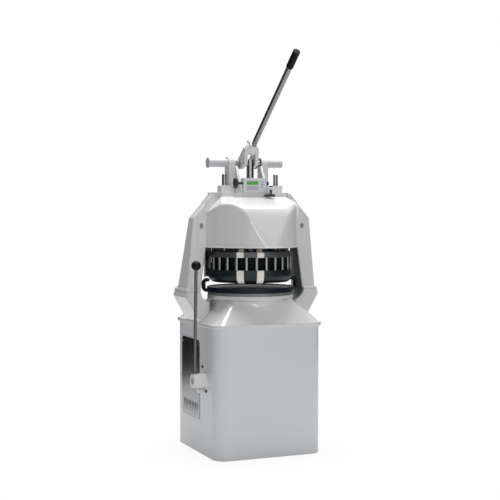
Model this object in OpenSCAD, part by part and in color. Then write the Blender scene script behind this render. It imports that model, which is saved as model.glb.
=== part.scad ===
// Divider rounder: cabinet with rounding drive, orbiting table, yoke, pressing head and hand levers.
// Millimetres, +Z up, origin on the floor under the middle of the cabinet, front towards -Y.

/* [Cabinet] */
// Width of the cabinet
cab_w = 635; // [560:1:700]
// Depth of the cabinet
cab_d = 660; // [600:1:720]
// Height of the cabinet's top edge above the floor
cab_h = 714; // [660:1:760]
// Radius of the cabinet's upright corners
cab_r = 73; // [40:1:90]
// Sheet thickness of the cabinet
cab_wall = 4; // [2:0.5:6]
// Thickness of the base plate
base_t = 12; // [8:1:20]
// Thickness of the bolted-on panels
panel_t = 3; // [2:0.5:4]

/* [Vent panel] */
// Length of the vent panel along the cabinet's side
vent_w = 290; // [220:1:320]
// Height of the vent panel
vent_h = 447; // [380:1:480]
// Height of the vent panel's lower edge
vent_z = 185; // [120:1:210]
// Position of the vent panel's middle along the side
vent_y = 78; // [60:1:90]
// Corner radius of the vent panel
vent_r = 26; // [12:1:36]
// Number of slots in the vent panel
slot_count = 9; // [5:1:12]
// Length of a vent slot
slot_len = 62; // [40:1:80]
// Width of a vent slot
slot_w = 9; // [6:1:12]

/* [Shoulder] */
// Height of the lip around the top of the cabinet
lip_h = 23; // [16:1:30]
// Overhang of the lip
lip_over = 9; // [4:1:16]
// Rise of the round neck's foot above the lip
shoulder_h = 83; // [60:1:90]
// Half-width of the hipped roof where it meets the rim
hip_half = 184; // [176:1:192]
// Corner radius of the hipped roof where it meets the rim
hip_r = 30; // [16:1:44]
// Height of the recessed neck
neck_h = 44; // [30:1:50]
// Radius of the recessed neck
neck_r = 224; // [216:1:230]
// Height of the rim on the neck
rim_h = 14; // [10:1:18]
// Radius of the rim
rim_r = 247; // [244:1:252]
// Wall thickness of the shoulder casting
cast_wall = 12; // [8:1:14]
// Distance of the head's axis in front of the cabinet's middle
head_y = 36; // [20:1:44]

/* [Rounding drive] */
// Eccentricity of the rounding crank
orbit_e = 6; // [3:0.5:8]
// Radius of the crank shaft
crank_r = 15; // [12:0.5:18]
// Radius of the eccentric pin
ecc_r = 20; // [16:0.5:24]
// Radius of the bearing housing
housing_r = 55; // [48:1:60]
// Radius of the bearings
bearing_r = 36; // [32:1:40]
// Height of one bearing
bearing_h = 19; // [15:1:24]
// Length of the bearing housing below the shoulder's top
housing_len = 168; // [140:1:190]
// Radius of the crank pulley
big_pulley_r = 140; // [110:1:150]
// Radius of the motor pulley
small_pulley_r = 35; // [30:1:45]
// Height of both pulleys
pulley_h = 24; // [20:1:30]
// Depth of the belt groove
groove_d = 12; // [9:0.5:14]
// Height of the belt
belt_h = 13; // [10:0.5:15]
// Radius of the motor body
motor_r = 80; // [65:1:90]
// Height of the motor body
motor_h = 190; // [150:1:200]
// Radius of the motor shaft
motor_shaft_r = 12; // [9:0.5:14]
// Sideways place of the motor
motor_x = 120; // [90:1:140]
// Distance of the motor behind the cabinet's middle
motor_y = 190; // [170:1:200]

/* [Table and plate] */
// Radius of the rounding table
table_r = 243; // [238:1:246]
// Thickness of the rounding table
table_t = 18; // [14:1:22]
// Height of the wear ring under the table
wear_t = 3.7; // [3:0.1:5]
// Radius of the dough plate
plate_r = 247; // [240:1:252]
// Thickness of the dough plate
plate_t = 21; // [16:1:26]
// Distance of an ear's tip from the plate's axis
ear_tip = 294; // [280:1:300]
// Width of an ear
ear_w = 74; // [36:1:90]
// Height of the raised end of an ear above the plate
ear_rise = 58; // [20:1:60]
// Thickness of an ear
ear_t = 18; // [10:1:22]

/* [Yoke] */
// Height of the lower arms above the lip
arm_h = 168; // [150:1:180]
// Height of the columns, ledge to deck
column_h = 548; // [500:1:600]
// Half-width between the columns at the ledge
col_in_low = 316; // [312:1:325]
// Half-width between the columns above the knee
col_in_high = 282; // [278:1:288]
// Half-width over the columns just above the ledge
col_out_low = 393; // [380:1:400]
// Half-width over the columns at the shoulder of the yoke
col_out_high = 357; // [345:1:368]
// Half-width over the ledge
ledge_out = 402; // [396:1:410]
// Half-width of the yoke's flat top
deck_half = 237; // [230:1:250]
// Height of the columns' inner knee above the ledge
knee_h = 245; // [200:1:260]
// Drop of the yoke's sloped shoulders
yoke_drop = 137; // [120:1:150]
// Distance of the columns' front face in front of the cabinet's middle
col_front = 70; // [66:1:76]
// Distance of the columns' rear edge behind the middle, at the ledge
col_back_low = 91; // [80:1:100]
// The same at the yoke's shoulder and top
col_back_high = 5; // [2:1:12]
// Distance that the ledge flange stands proud at the front
ledge_proud = 14; // [8:1:18]
// Distance that the ledge flange stands proud at the back
ledge_proud_back = 34; // [24:1:40]
// Radius of the round inner corner where an arm turns in over the shoulder
arm_round = 57; // [44:1:70]
// Thickness of each of the two ledge flanges
ledge_t = 15; // [12:1:22]
// Height of the top beam
beam_h = 83; // [70:1:100]
// Thickness of the top deck
deck_t = 6; // [4:1:8]
// Distance of the deck's front edge in front of the middle
deck_front = 100; // [96:1:110]
// Half-width of the deck's front edge
deck_nose = 196; // [190:1:210]
// Distance of the deck's rear edge behind the middle
deck_back = 54; // [50:1:60]
// Thickness of the liners
liner_t = 2; // [1:0.5:3]

/* [Head cover] */
// Height of the head cover below the deck
cover_h = 302; // [280:1:305]
// Radius of the cover's lower edge
cover_r = 294; // [286:1:300]
// Depth of the cover's lower edge in front of the columns
cover_depth = 286; // [270:1:290]
// Depth of the front facet's upper edge in front of the columns
facet_top_depth = 226; // [210:1:236]
// Half-width of the facet's upper edge
facet_top_half = 150; // [136:1:160]
// Drop of the facet's upper edge below the deck
facet_drop = 70; // [60:1:84]
// Half-width of the cover's roof at the back
roof_half = 200; // [190:1:210]
// Drop of the roof's back edge below the deck
roof_drop = 17; // [14:1:24]
// Half-width of the cover at its cheeks
cheek_half = 229; // [220:1:236]
// Depth of the cheeks in front of the columns
cheek_depth = 80; // [70:1:90]
// Drop of the cheeks below the deck
cheek_drop = 55; // [48:1:62]
// Drop of the cover's side corners below the deck
corner_drop = 116; // [106:1:126]
// Half-width of the cover's flange on the columns
flange_half = 330; // [320:1:340]
// Thickness of the cover's flange
flange_sheet = 3; // [2:0.5:4]
// Drop of the flange's side corners below the deck
flange_drop = 141; // [134:1:150]
// Wall thickness of the cover
cover_wall = 4; // [3:0.5:6]
// Radius of the rear guard
guard_r = 264; // [258:1:277]
// Height of the rear guard's lower edge above the ledge
guard_rise = 26; // [20:1:80]
// Height of the rear guard's corner notch above the ledge
guard_notch = 95; // [84:1:120]
// Sheet thickness of the rear guard
guard_wall = 3; // [2:0.5:4]

/* [Pressing head] */
// Travel of the head
travel = 33; // [30:1:46]
// Radius of the cutting ring
ring_r = 242; // [236:1:245]
// Wall thickness of the cutting ring
ring_wall = 13; // [8:1:16]
// Height of the cutting ring
ring_h = 73; // [50:1:80]
// Height of the bars between ring and head plate
bar_h = 70; // [50:1:80]
// Radius of a bar
bar_r = 5.5; // [3:0.5:6]
// Number of bars
bar_count = 26; // [20:2:30]
// Thickness of the head plate
head_t = 31; // [24:1:36]
// Thickness of a knife
knife_t = 3; // [2:0.5:4]
// Radius of the inner knife ring
knife_r1 = 85; // [70:1:95]
// Radius of the outer knife ring
knife_r2 = 152; // [140:1:165]
// Recess of the pressing blocks above the ring's lower edge
block_recess = 21; // [10:1:30]
// Width of an ivory pad
pad_w = 40; // [30:1:50]
// Thickness of an ivory pad
pad_t = 13; // [8:1:15]
// Angle of the first pad from the front, towards the left
pad_angle_1 = 9.5; // [5:0.5:14]
// Angle of the second pad from the front, towards the left
pad_angle_2 = 35.5; // [30:0.5:42]
// Radius of the ram
ram_r = 21; // [18:0.5:24]
// Height of the ram's top above the cross shaft
ram_over = 18; // [16:1:24]
// Radius of a guide post
post_r = 13.5; // [10:0.5:16]
// Distance of a guide post from the ram
post_x = 158; // [150:1:165]
// Height of the posts' tops above the deck
post_over = 110; // [80:1:120]
// Height of a guide block
guide_h = 39; // [30:1:46]
// Width of a guide block
guide_w = 60; // [50:1:64]

/* [Press lever] */
// Height of the cross shaft above the deck
shaft_h = 169; // [150:1:190]
// Distance of the cross shaft behind the cabinet's middle
shaft_y = 18; // [14:1:24]
// Radius of the cross shaft
shaft_r = 17.5; // [14:0.5:20]
// Radius of the spring tubes
tube_r = 24; // [22:0.5:28]
// Length of the left spring tube
tube_left = 118; // [90:1:130]
// Length of the right spring tube
tube_right = 96; // [80:1:110]
// Radius of the flanged cap on the left tube
cap_r = 30.5; // [26:0.5:34]
// Inner face of a pedestal, from the middle
ped_in = 83; // [78:1:90]
// Outer face of a pedestal, from the middle
ped_out = 121; // [112:1:126]
// Thickness of a pedestal's gusset rib
rib_t = 12; // [8:1:14]
// Radius of the lever's hub
hub_r = 34.5; // [30:0.5:38]
// Throw of the crank pin in the fork
crank_throw = 56; // [54:0.5:60]
// Radius of the crank pin
crank_pin_r = 8; // [6:0.5:9]
// Thickness of a fork cheek
cheek_t = 20; // [14:1:22]
// Radius of the dark collar beside the fork
collar_r = 32; // [28:0.5:36]
// Thickness of the collar
collar_t = 15; // [10:1:18]
// Lean of the lever from upright, in degrees
lever_lean = 51.5; // [45:0.5:56]
// Offset of the rod above the cross shaft's axis
lever_offset = 11; // [8:0.5:14]
// Distance of the socket's lower end from the cross shaft
socket_from = 84; // [80:1:100]
// Distance of the socket's upper end from the cross shaft
socket_to = 150; // [130:1:170]
// Radius of the socket
socket_r = 25; // [22:0.5:28]
// Radius of the lever rod
rod_r = 15.5; // [12:0.5:17]
// Distance of the lever's tip from the cross shaft
lever_len = 858; // [700:1:900]
// Length of the grip
grip_len = 131; // [110:1:150]
// Radius of the grip
grip_r = 19.5; // [17:0.5:23]

/* [Controls] */
// Width of the control box
ctrl_w = 140; // [120:1:146]
// Height of the control box
ctrl_h = 81; // [60:1:90]
// Depth of the control box
ctrl_d = 44; // [36:1:46]
// Distance of the control box's back behind the middle of the ram, forwards
ctrl_gap = 30; // [26:1:34]
// Distance of the dials' axis behind the control box's front
dial_in = 14; // [12:1:20]
// Radius of a button
button_r = 4; // [3:0.5:5]
// Travel of a button
button_travel = 1.5; // [1:0.1:2]
// Spacing of the buttons
button_pitch = 14; // [12:1:18]
// Radius of the handwheel
wheel_r = 30.5; // [24:0.5:36]
// Thickness of the handwheel
wheel_t = 10; // [8:1:20]
// Length of the handwheel's stem outside the box
wheel_stem = 38; // [24:1:40]
// Radius of the small knob
knob_r = 13; // [10:0.5:16]
// Length of the small knob
knob_len = 16; // [12:1:20]
// Length of the T-handle's bar
tee_bar = 62; // [50:1:80]
// Length of the T-handle's stem below its bracket
tee_drop = 33; // [30:1:36]
// Radius of the T-handle's stem
tee_r = 7; // [5:0.5:8]

/* [Side lever] */
// Distance of the side lever's axis in front of the middle
side_y = 180; // [170:1:200]
// Height of the side lever's axis
side_z = 425; // [400:1:450]
// Radius of the side flange
flange_r = 52; // [44:1:54]
// Thickness of the side flange
flange_t = 8; // [6:1:12]
// Radius of the side hub
side_hub_r = 40; // [34:1:46]
// Length of the side hub
side_hub_len = 78; // [60:1:90]
// Radius of the side shaft
side_shaft_r = 12.5; // [10:0.5:14]
// Radius of the side lever's rod
side_rod_r = 8.5; // [6:0.5:10]
// Distance of the ball's middle from the side lever's axis
side_len = 633; // [560:1:680]
// Radius of the ball knob
ball_r = 26.5; // [22:0.5:30]
// Forward lean of the side lever in degrees
side_lean = 2.3; // [0:0.1:4]
// Length of the shift arm inside the cabinet
shift_len = 110; // [80:1:130]

/* [Hidden] */
$fn = 64;

// Gap between parts that move past each other
gap = 0.3;
// Radial clearance of a shaft in its bush
run = 0.05;
// Small overlap that keeps a cut clean
eps = 1;

// Heights, from the floor up
lip_z = cab_h;
roof_z = lip_z + lip_h;
neck_z = roof_z + shoulder_h;
rim_z = neck_z + neck_h;
pan_z = neck_z + cast_wall;
rim_top = rim_z + rim_h;
table_z = rim_top + wear_t + gap;
plate_z = table_z + table_t + gap;
plate_top = plate_z + plate_t;
ring_z = plate_top + travel + gap;
bars_z = ring_z + ring_h;
head_z = bars_z + bar_h;
head_top = head_z + head_t;
ledge_z = roof_z + arm_h;
deck_z = ledge_z + column_h;
deck_top = deck_z + deck_t;
beam_z = deck_z - beam_h;
knee_z = ledge_z + knee_h;
yoke_z = deck_z - yoke_drop;
cover_z = deck_z - cover_h;
shaft_z = deck_top + shaft_h;
guard_z = ledge_z + guard_rise;

// Sides and fronts
left_x = -cab_w / 2;
back_y = cab_d / 2;
ctrl_back = -head_y - ctrl_gap;
ctrl_front = ctrl_back - ctrl_d;
dial_y = ctrl_front + dial_in;
dial_z = deck_top + ctrl_h * 0.64;
fork_half = ram_r + 2;
slot_slack = 2.6;
screw_r = 6;
cap_screw_r = 9;

// A rectangle with rounded corners
module rounded(w, d, r) {
  square([w - 2 * r, d], center = true);
  square([w, d - 2 * r], center = true);
  for (sx = [-1, 1], sy = [-1, 1]) {
    translate([sx * (w / 2 - r), sy * (d / 2 - r)]) circle(r);
  }
}

// A profile in X and Z, drawn out from y0 to y1
module along_y(y0, y1) {
  translate([0, y1, 0]) rotate([90, 0, 0]) linear_extrude(y1 - y0) children();
}

// A profile in Y and Z, drawn out from x0 to x1
module along_x(x0, x1) {
  translate([x0, 0, 0]) rotate([90, 0, 90]) linear_extrude(x1 - x0) children();
}

// A round bar along X
module bar_x(x0, x1, r) {
  translate([x0, 0, 0]) rotate([0, 90, 0]) cylinder(h = x1 - x0, r = r);
}

// A washer-shaped solid
module tube(h, ro, ri) {
  linear_extrude(h) difference() {
    circle(ro);
    circle(ri);
  }
}

// A part and its mirror image across the middle
module pair() {
  children();
  mirror([1, 0, 0]) children();
}

// The head's own axis
module at_head(z) {
  translate([0, -head_y, z]) children();
}

// The lever's own axis, with +Z along the rod
module at_lever() {
  translate([0, shaft_y, shaft_z]) rotate([lever_lean, 0, 0]) translate([0, lever_offset, 0]) children();
}

// The side lever's own axis
module at_side() {
  translate([left_x, -side_y, side_z]) children();
}

// Cabinet

module base_plate() {
  color("gainsboro") linear_extrude(base_t) rounded(cab_w, cab_d, cab_r);
}

vent_lap = 18;
rear_side = 30;
rear_z = 150;
rear_over = 130;
rear_w = cab_w - 2 * cab_r - 2 * rear_side;
rear_h = cab_h - rear_z - rear_over;
gland_side = 12;
gland_x = cab_w / 2 - cab_r - gland_side;
gland_z = 80;
gland_r = 11;
gland_bore = 5;
gland_in = 8;
gland_out = 24;
gland_nut_h = 10;
gland_nut_over = 4;
screw_h = 4;
screw_in = vent_lap / 2 + 2;
side_screw_back = 70;
side_screw_up = 66;
side_screw_low = 11;

module cabinet_shell() {
  color("gainsboro") difference() {
    translate([0, 0, base_t]) linear_extrude(cab_h - base_t) difference() {
      rounded(cab_w, cab_d, cab_r);
      rounded(cab_w - 2 * cab_wall, cab_d - 2 * cab_wall, cab_r - cab_wall);
    }
    along_x(left_x - eps, left_x + cab_wall + eps) translate([vent_y, vent_z + vent_h / 2])
      rounded(vent_w - 2 * vent_lap, vent_h - 2 * vent_lap, vent_r - vent_lap / 2);
    along_y(back_y - cab_wall - eps, back_y + eps) translate([0, rear_z + rear_h / 2])
      rounded(rear_w - 2 * vent_lap, rear_h - 2 * vent_lap, vent_r - vent_lap / 2);
    at_side() bar_x(-eps, cab_wall + eps, side_shaft_r + gap);
    along_y(back_y - cab_wall - eps, back_y + eps) translate([gland_x, gland_z]) circle(gland_r);
  }
}

module vent_panel() {
  slot_pitch = (vent_w - 2 * vent_r) / slot_count;
  color("slategray") difference() {
    along_x(left_x - panel_t, left_x) translate([vent_y, vent_z + vent_h / 2])
      rounded(vent_w, vent_h, vent_r);
    for (i = [0 : slot_count - 1]) {
      along_x(left_x - panel_t - eps, left_x + eps)
        translate([vent_y + (i - (slot_count - 1) / 2) * slot_pitch, vent_z + vent_r + slot_len / 2])
        rounded(slot_w, slot_len, slot_w / 2 - 0.1);
    }
  }
}

module rear_panel() {
  color("gainsboro") along_y(back_y, back_y + panel_t) translate([0, rear_z + rear_h / 2])
    rounded(rear_w, rear_h, vent_r);
}

module screw_x(r = screw_r) {
  bar_x(-screw_h, 0, r);
}

module panel_screws() {
  color("dimgray") {
    for (sy = [-1, 1], sz = [0, 1]) {
      translate([left_x - panel_t, vent_y + sy * (vent_w / 2 - screw_in),
        vent_z + (sz ? vent_h - vent_r : vent_h / 2)]) screw_x();
    }
    for (sx = [-1, 1], sz = [0, 1]) {
      translate([sx * (rear_w / 2 - screw_in), back_y + panel_t, rear_z + (sz ? rear_h - vent_r : vent_r)])
        rotate([0, 0, -90]) screw_x();
    }
    at_side() {
      translate([0, side_screw_back, side_screw_up]) screw_x(cap_screw_r);
      translate([0, side_screw_low, -flange_r - side_screw_low]) screw_x(cap_screw_r);
    }
    pair() translate([-(cover_half + flange_half) / 2, -col_front - flange_sheet, cover_z + cover_h * 0.4])
      rotate([0, 0, 90]) screw_x(cap_screw_r);
  }
}

module cable_gland() {
  color("dimgray") translate([gland_x, back_y, gland_z]) rotate([-90, 0, 0]) difference() {
    union() {
      translate([0, 0, -cab_wall - gland_in]) cylinder(h = cab_wall + gland_in, r = gland_r - run);
      cylinder(h = gland_nut_h, r = gland_r + gland_nut_over, $fn = 6);
      cylinder(h = gland_out, r = gland_r);
    }
    translate([0, 0, -cab_wall - gland_in - eps])
      cylinder(h = cab_wall + gland_in + gland_out + 2 * eps, r = gland_bore);
  }
}

// Shoulder casting between the cabinet and the table

module shoulder_form(inset) {
  hull() {
    translate([0, 0, lip_z]) linear_extrude(lip_h)
      rounded(cab_w - 2 * inset, cab_d - 2 * inset, cab_r - inset, $fn = 32);
    at_head(rim_z - eps) linear_extrude(eps)
      rounded(2 * (hip_half - inset), 2 * (hip_half - inset), hip_r, $fn = 32);
  }
}

module shoulder() {
  color("gainsboro") difference() {
    union() {
      translate([0, 0, lip_z]) linear_extrude(lip_h)
        rounded(cab_w + 2 * lip_over, cab_d + 2 * lip_over, cab_r + lip_over);
      shoulder_form(0);
      at_head(neck_z - eps) cylinder(h = neck_h + eps, r = neck_r);
      at_head(rim_z) cylinder(h = rim_h, r = rim_r);
    }
    intersection() {
      translate([0, 0, -eps]) shoulder_form(cast_wall);
      translate([-cab_w, -cab_d, 0]) cube([2 * cab_w, 2 * cab_d, neck_z - cast_wall]);
    }
    at_head(pan_z) cylinder(h = neck_h + rim_h, r = neck_r - cast_wall);
    at_head(neck_z - cast_wall - 2 * eps) cylinder(h = 3 * cast_wall, r = housing_r + run);
  }
}

// Rounding drive inside the cabinet

housing_top = pan_z;
housing_z = housing_top - housing_len - 2 * cast_wall;
housing_flange = 36;
housing_flange_t = 14;
pulley_gap = 26;
pulley_z = housing_z - pulley_gap - pulley_h;
shaft_end = 6;
crank_disc_t = 14;
crank_disc_gap = 4;
crank_disc_z = housing_top + crank_disc_gap;
crank_disc_r = 58;
weight_r = 142;
weight_cut = 30;
boss_wall = 22;
ecc_z = crank_disc_z + crank_disc_t;
ecc_len = table_z + table_t / 2 - ecc_z;

module bearing_housing() {
  color("dimgray") at_head(0) difference() {
    union() {
      translate([0, 0, housing_z]) cylinder(h = housing_top - housing_z, r = housing_r);
      translate([0, 0, neck_z - cast_wall - housing_flange_t])
        cylinder(h = housing_flange_t, r = housing_r + housing_flange);
    }
    translate([0, 0, housing_z - eps]) cylinder(h = housing_top - housing_z + 2 * eps, r = bearing_r);
  }
}

module bearings() {
  color("silver") at_head(0) {
    for (z = [housing_z, housing_top - bearing_h]) {
      translate([0, 0, z]) tube(bearing_h, bearing_r - run, crank_r + run);
    }
  }
}

module crank_shaft() {
  color("darkgray") at_head(0) {
    translate([0, 0, pulley_z - shaft_end])
      cylinder(h = crank_disc_z - pulley_z + shaft_end + eps, r = crank_r);
    translate([0, 0, crank_disc_z]) cylinder(h = crank_disc_t, r = crank_disc_r);
    translate([0, -orbit_e, ecc_z - eps]) cylinder(h = ecc_len + eps, r = ecc_r);
  }
}

module counterweight() {
  color("dimgray") at_head(crank_disc_z) difference() {
    tube(crank_disc_t, weight_r, crank_disc_r + run);
    translate([-neck_r, weight_cut - 2 * neck_r, -eps])
      cube([2 * neck_r, 2 * neck_r, crank_disc_t + 2 * eps]);
  }
}

module pulley_form(r, bore) {
  rotate_extrude() polygon([
    [bore, 0], [r, 0], [r, (pulley_h - belt_h) / 2 - gap], [r - groove_d, (pulley_h - belt_h) / 2 - gap],
    [r - groove_d, (pulley_h + belt_h) / 2 + gap], [r, (pulley_h + belt_h) / 2 + gap], [r, pulley_h],
    [bore, pulley_h]
  ]);
}

module crank_pulley() {
  color("dimgray") at_head(pulley_z) pulley_form(big_pulley_r, crank_r + run);
}

motor_gap = 20;
motor_top = pulley_z - motor_gap;
stand_t = 12;
leg_r = 11;
leg_in = 14;
motor_band = 22;
motor_band_rise = 8;
terminal = [38, 70, 80];
terminal_sink = 20;
terminal_z = 60;
shaft_hole = 40;
shaft_in = 34;

module motor_stand() {
  stand_z = motor_top - motor_h - stand_t;
  color("gray") translate([motor_x, motor_y, 0]) {
    translate([0, 0, stand_z]) linear_extrude(stand_t) rounded(2 * motor_r, 2 * motor_r, leg_r);
    for (sx = [-1, 1], sy = [-1, 1]) {
      translate([sx * (motor_r - leg_in), sy * (motor_r - leg_in), base_t])
        cylinder(h = stand_z - base_t + eps, r = leg_r);
    }
  }
}

module motor() {
  color("steelblue") translate([motor_x, motor_y, motor_top - motor_h]) difference() {
    union() {
      cylinder(h = motor_h, r = motor_r - motor_band_rise);
      for (z = [0, motor_h - motor_band]) {
        translate([0, 0, z]) cylinder(h = motor_band, r = motor_r);
      }
      translate([motor_r - terminal_sink, -terminal[1] / 2, terminal_z]) cube(terminal);
    }
    translate([0, 0, motor_h - shaft_hole]) cylinder(h = shaft_hole + eps, r = motor_shaft_r + run);
  }
}

module motor_pulley() {
  color("dimgray") translate([motor_x, motor_y, pulley_z]) pulley_form(small_pulley_r, motor_shaft_r + run);
  color("silver") translate([motor_x, motor_y, motor_top - shaft_in])
    cylinder(h = shaft_in + motor_gap + pulley_h + shaft_end, r = motor_shaft_r);
}

belt_sink = 2;
belt_float = 1;

module belt_loop(inset) {
  hull() {
    translate([0, -head_y]) circle(big_pulley_r - inset, $fn = 48);
    translate([motor_x, motor_y]) circle(small_pulley_r - inset, $fn = 32);
  }
}

module drive_belt() {
  belt_z = pulley_z + (pulley_h - belt_h) / 2;
  color("#222222") translate([0, 0, belt_z]) linear_extrude(belt_h) difference() {
    belt_loop(belt_sink);
    belt_loop(groove_d - belt_float);
  }
}

wear_in = 4;

module wear_ring() {
  color("ivory") at_head(rim_top) tube(wear_t, rim_r - wear_in, neck_r - cast_wall + wear_in);
}

module rounding_table() {
  color("darkslategray") at_head(0) difference() {
    union() {
      translate([0, 0, table_z]) cylinder(h = table_t, r = table_r);
      translate([0, -orbit_e, ecc_z + gap]) cylinder(h = table_z - ecc_z, r = ecc_r + boss_wall);
    }
    translate([0, -orbit_e, ecc_z]) cylinder(h = ecc_len + gap, r = ecc_r + run);
  }
}

module dough_plate() {
  ear_sink = 20;
  ear_foot = 5;
  ear_z = 3;
  ear_top = plate_t + ear_rise;
  ear_round = ear_w / 4;
  color("#23262b") at_head(plate_z) {
    cylinder(h = plate_t, r = plate_r);
    pair() intersection() {
      along_y(-ear_w / 2, ear_w / 2) polygon([
        [plate_r - ear_sink, ear_z], [ear_tip, ear_z], [ear_tip, ear_top], [ear_tip - ear_t, ear_top],
        [plate_r + ear_foot, plate_t - ear_z], [plate_r - ear_sink, plate_t - ear_z]
      ]);
      along_x(0, ear_tip + eps) {
        translate([-ear_w / 2, 0]) square([ear_w, ear_top - ear_round]);
        translate([-ear_w / 2 + ear_round, 0]) square([ear_w - 2 * ear_round, ear_top]);
        for (k = [-1, 1]) {
          translate([k * (ear_w / 2 - ear_round), ear_top - ear_round]) circle(ear_round);
        }
      }
    }
  }
}

// Yoke: lower arms, columns, beam and deck

roof_slope = (cab_w / 2 - hip_half) / (rim_z - roof_z);
arm_in = neck_r + 4;
arm_foot_z = roof_z + (cab_w / 2 + gap - arm_in) / roof_slope;
arm_lip = 4;
arm_back = 22;

module arm_profile() {
  difference() {
    polygon([
      [cab_w / 2 + gap, roof_z], [cab_w / 2 + lip_over - 2, roof_z],
      [ledge_out + arm_lip, ledge_z - 2 * ledge_t], [ledge_out + arm_lip, ledge_z - ledge_t],
      [ledge_out, ledge_z - ledge_t], [ledge_out, ledge_z], [arm_in, ledge_z], [arm_in, arm_foot_z]
    ]);
    translate([col_in_low - arm_round, ledge_z]) circle(arm_round);
    translate([arm_in - eps, ledge_z - arm_round])
      square([col_in_low - arm_round - arm_in + eps, arm_round + eps]);
  }
}

module lower_arms() {
  color("gainsboro") pair() intersection() {
    along_y(-back_y, back_y) arm_profile();
    along_x(0, cab_w) polygon([
      [-col_front - ledge_proud, roof_z], [col_back_low + ledge_proud_back + arm_back, roof_z],
      [col_back_low + ledge_proud_back, ledge_z - 2 * ledge_t], [col_back_low + ledge_proud_back, ledge_z],
      [-col_front - ledge_proud, ledge_z]
    ]);
  }
}

module yoke_outline() {
  polygon([
    [-ledge_out, ledge_z], [ledge_out, ledge_z], [ledge_out, ledge_z + ledge_t],
    [col_out_low, ledge_z + ledge_t], [col_out_high, yoke_z], [deck_half, deck_z], [-deck_half, deck_z],
    [-col_out_high, yoke_z], [-col_out_low, ledge_z + ledge_t], [-ledge_out, ledge_z + ledge_t]
  ]);
}

module column_room() {
  polygon([
    [col_in_low, ledge_z - eps], [2 * ledge_out, ledge_z - eps], [2 * ledge_out, deck_z + eps],
    [col_in_high, deck_z + eps], [col_in_high, knee_z], [col_in_low, ledge_z]
  ]);
}

module columns() {
  color("gainsboro") pair() intersection() {
    along_y(-back_y, back_y) intersection() {
      yoke_outline();
      column_room();
    }
    along_x(0, cab_w) polygon([
      [-col_front - ledge_proud, ledge_z], [col_back_low + ledge_proud_back, ledge_z],
      [col_back_low + ledge_proud_back, ledge_z + ledge_t], [col_back_low, ledge_z + ledge_t],
      [col_back_high, yoke_z], [col_back_high, deck_z], [-col_front, deck_z],
      [-col_front, ledge_z + ledge_t], [-col_front - ledge_proud, ledge_z + ledge_t]
    ]);
  }
}

bolt_r = 9;
bolt_h = 9;
bolt_in = 22;

module ledge_bolts() {
  color("dimgray") pair() for (x = [col_in_low + bolt_in, ledge_out - bolt_in]) {
    translate([x, col_back_low + ledge_proud_back / 2, ledge_z + ledge_t])
      cylinder(h = bolt_h, r = bolt_r, $fn = 6);
  }
}

liner_front = 6;
liner_back = 30;

module liners() {
  color("#33373c") pair() along_y(-col_front + liner_front, col_back_high + liner_back) {
    polygon([
      [col_in_low, ledge_z], [col_in_high, knee_z],
      [col_in_high - liner_t, knee_z], [col_in_low - liner_t, ledge_z]
    ]);
    intersection() {
      translate([col_in_low - arm_round, ledge_z]) difference() {
        circle(arm_round);
        circle(arm_round - liner_t);
      }
      translate([col_in_low - arm_round, ledge_z - arm_round]) square(arm_round);
    }
  }
}

module top_beam() {
  color("gainsboro") difference() {
    along_y(-col_front, col_back_high) intersection() {
      yoke_outline();
      translate([-col_in_high, beam_z]) square([2 * col_in_high, beam_h]);
    }
    at_head(beam_z - eps) {
      cylinder(h = beam_h + 2 * eps, r = ram_r + bush_t + run);
      pair() translate([post_x, 0, 0]) cylinder(h = beam_h + 2 * eps, r = post_r + post_room);
    }
  }
}

bush_t = 6;
bush_inset = 3;
post_room = 2;

module top_deck() {
  color("gainsboro") difference() {
    translate([0, 0, deck_z]) linear_extrude(deck_t) polygon([
      [-deck_half, -col_front], [-deck_nose, -deck_front], [deck_nose, -deck_front],
      [deck_half, -col_front], [deck_half, deck_back], [-deck_half, deck_back]
    ]);
    at_head(deck_z - eps) {
      cylinder(h = deck_t + 2 * eps, r = ram_r + bush_t + run);
      pair() translate([post_x, 0, 0]) cylinder(h = deck_t + 2 * eps, r = post_r + post_room);
    }
  }
}

// Covers of the head

module rear_guard() {
  guard_top = beam_z + 24;
  pad_reach = 16;
  pad_h = 60;
  pad_up = 2;
  notch_depth = 20;
  color("gainsboro") {
    intersection() {
      at_head(guard_z) difference() {
        cylinder(h = guard_top - guard_z, r = guard_r);
        translate([0, 0, -eps])
          cylinder(h = guard_top - guard_z + eps - guard_wall, r = guard_r - guard_wall);
      }
      along_x(-cab_w, cab_w) polygon([
        [col_back_high, guard_top + eps], [col_back_high, ledge_z + guard_notch],
        [col_back_high + notch_depth, ledge_z + guard_notch], [col_back_high + notch_depth, guard_z - eps],
        [cab_d, guard_z - eps], [cab_d, guard_top + eps]
      ]);
    }
    pair() translate([guard_r - pad_reach, col_back_high, knee_z + pad_up])
      cube([col_in_high - guard_r + pad_reach, pad_reach, pad_h]);
  }
}

module cover_slab(z, reach, cut, half, inset) {
  translate([0, -col_front, z]) linear_extrude(eps) intersection() {
    scale([half - inset, reach - inset]) circle(1, $fn = 64);
    translate([-half, -cut + inset]) square([2 * half, cut]);
  }
}

module cover_bar(half, depth, drop, inset) {
  bar_y = -col_front - max(depth - inset, eps - inset);
  translate([-half + inset, bar_y, deck_z - drop - eps - inset]) cube([2 * (half - inset), eps, eps]);
}

module cover_form(inset) {
  hull() {
    cover_slab(cover_z, cover_r, cover_depth, cover_half, inset);
    cover_bar(facet_top_half, facet_top_depth, facet_drop, inset);
    cover_bar(cheek_half, cheek_depth, cheek_drop, inset);
    cover_bar(roof_half, deck_front - col_front, roof_drop, inset);
    cover_bar(roof_half, 0, roof_drop, inset);
    cover_bar(cover_half, 0, corner_drop, inset);
  }
}

cover_lap = 6;
cover_half = col_in_high + cover_lap;

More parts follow.
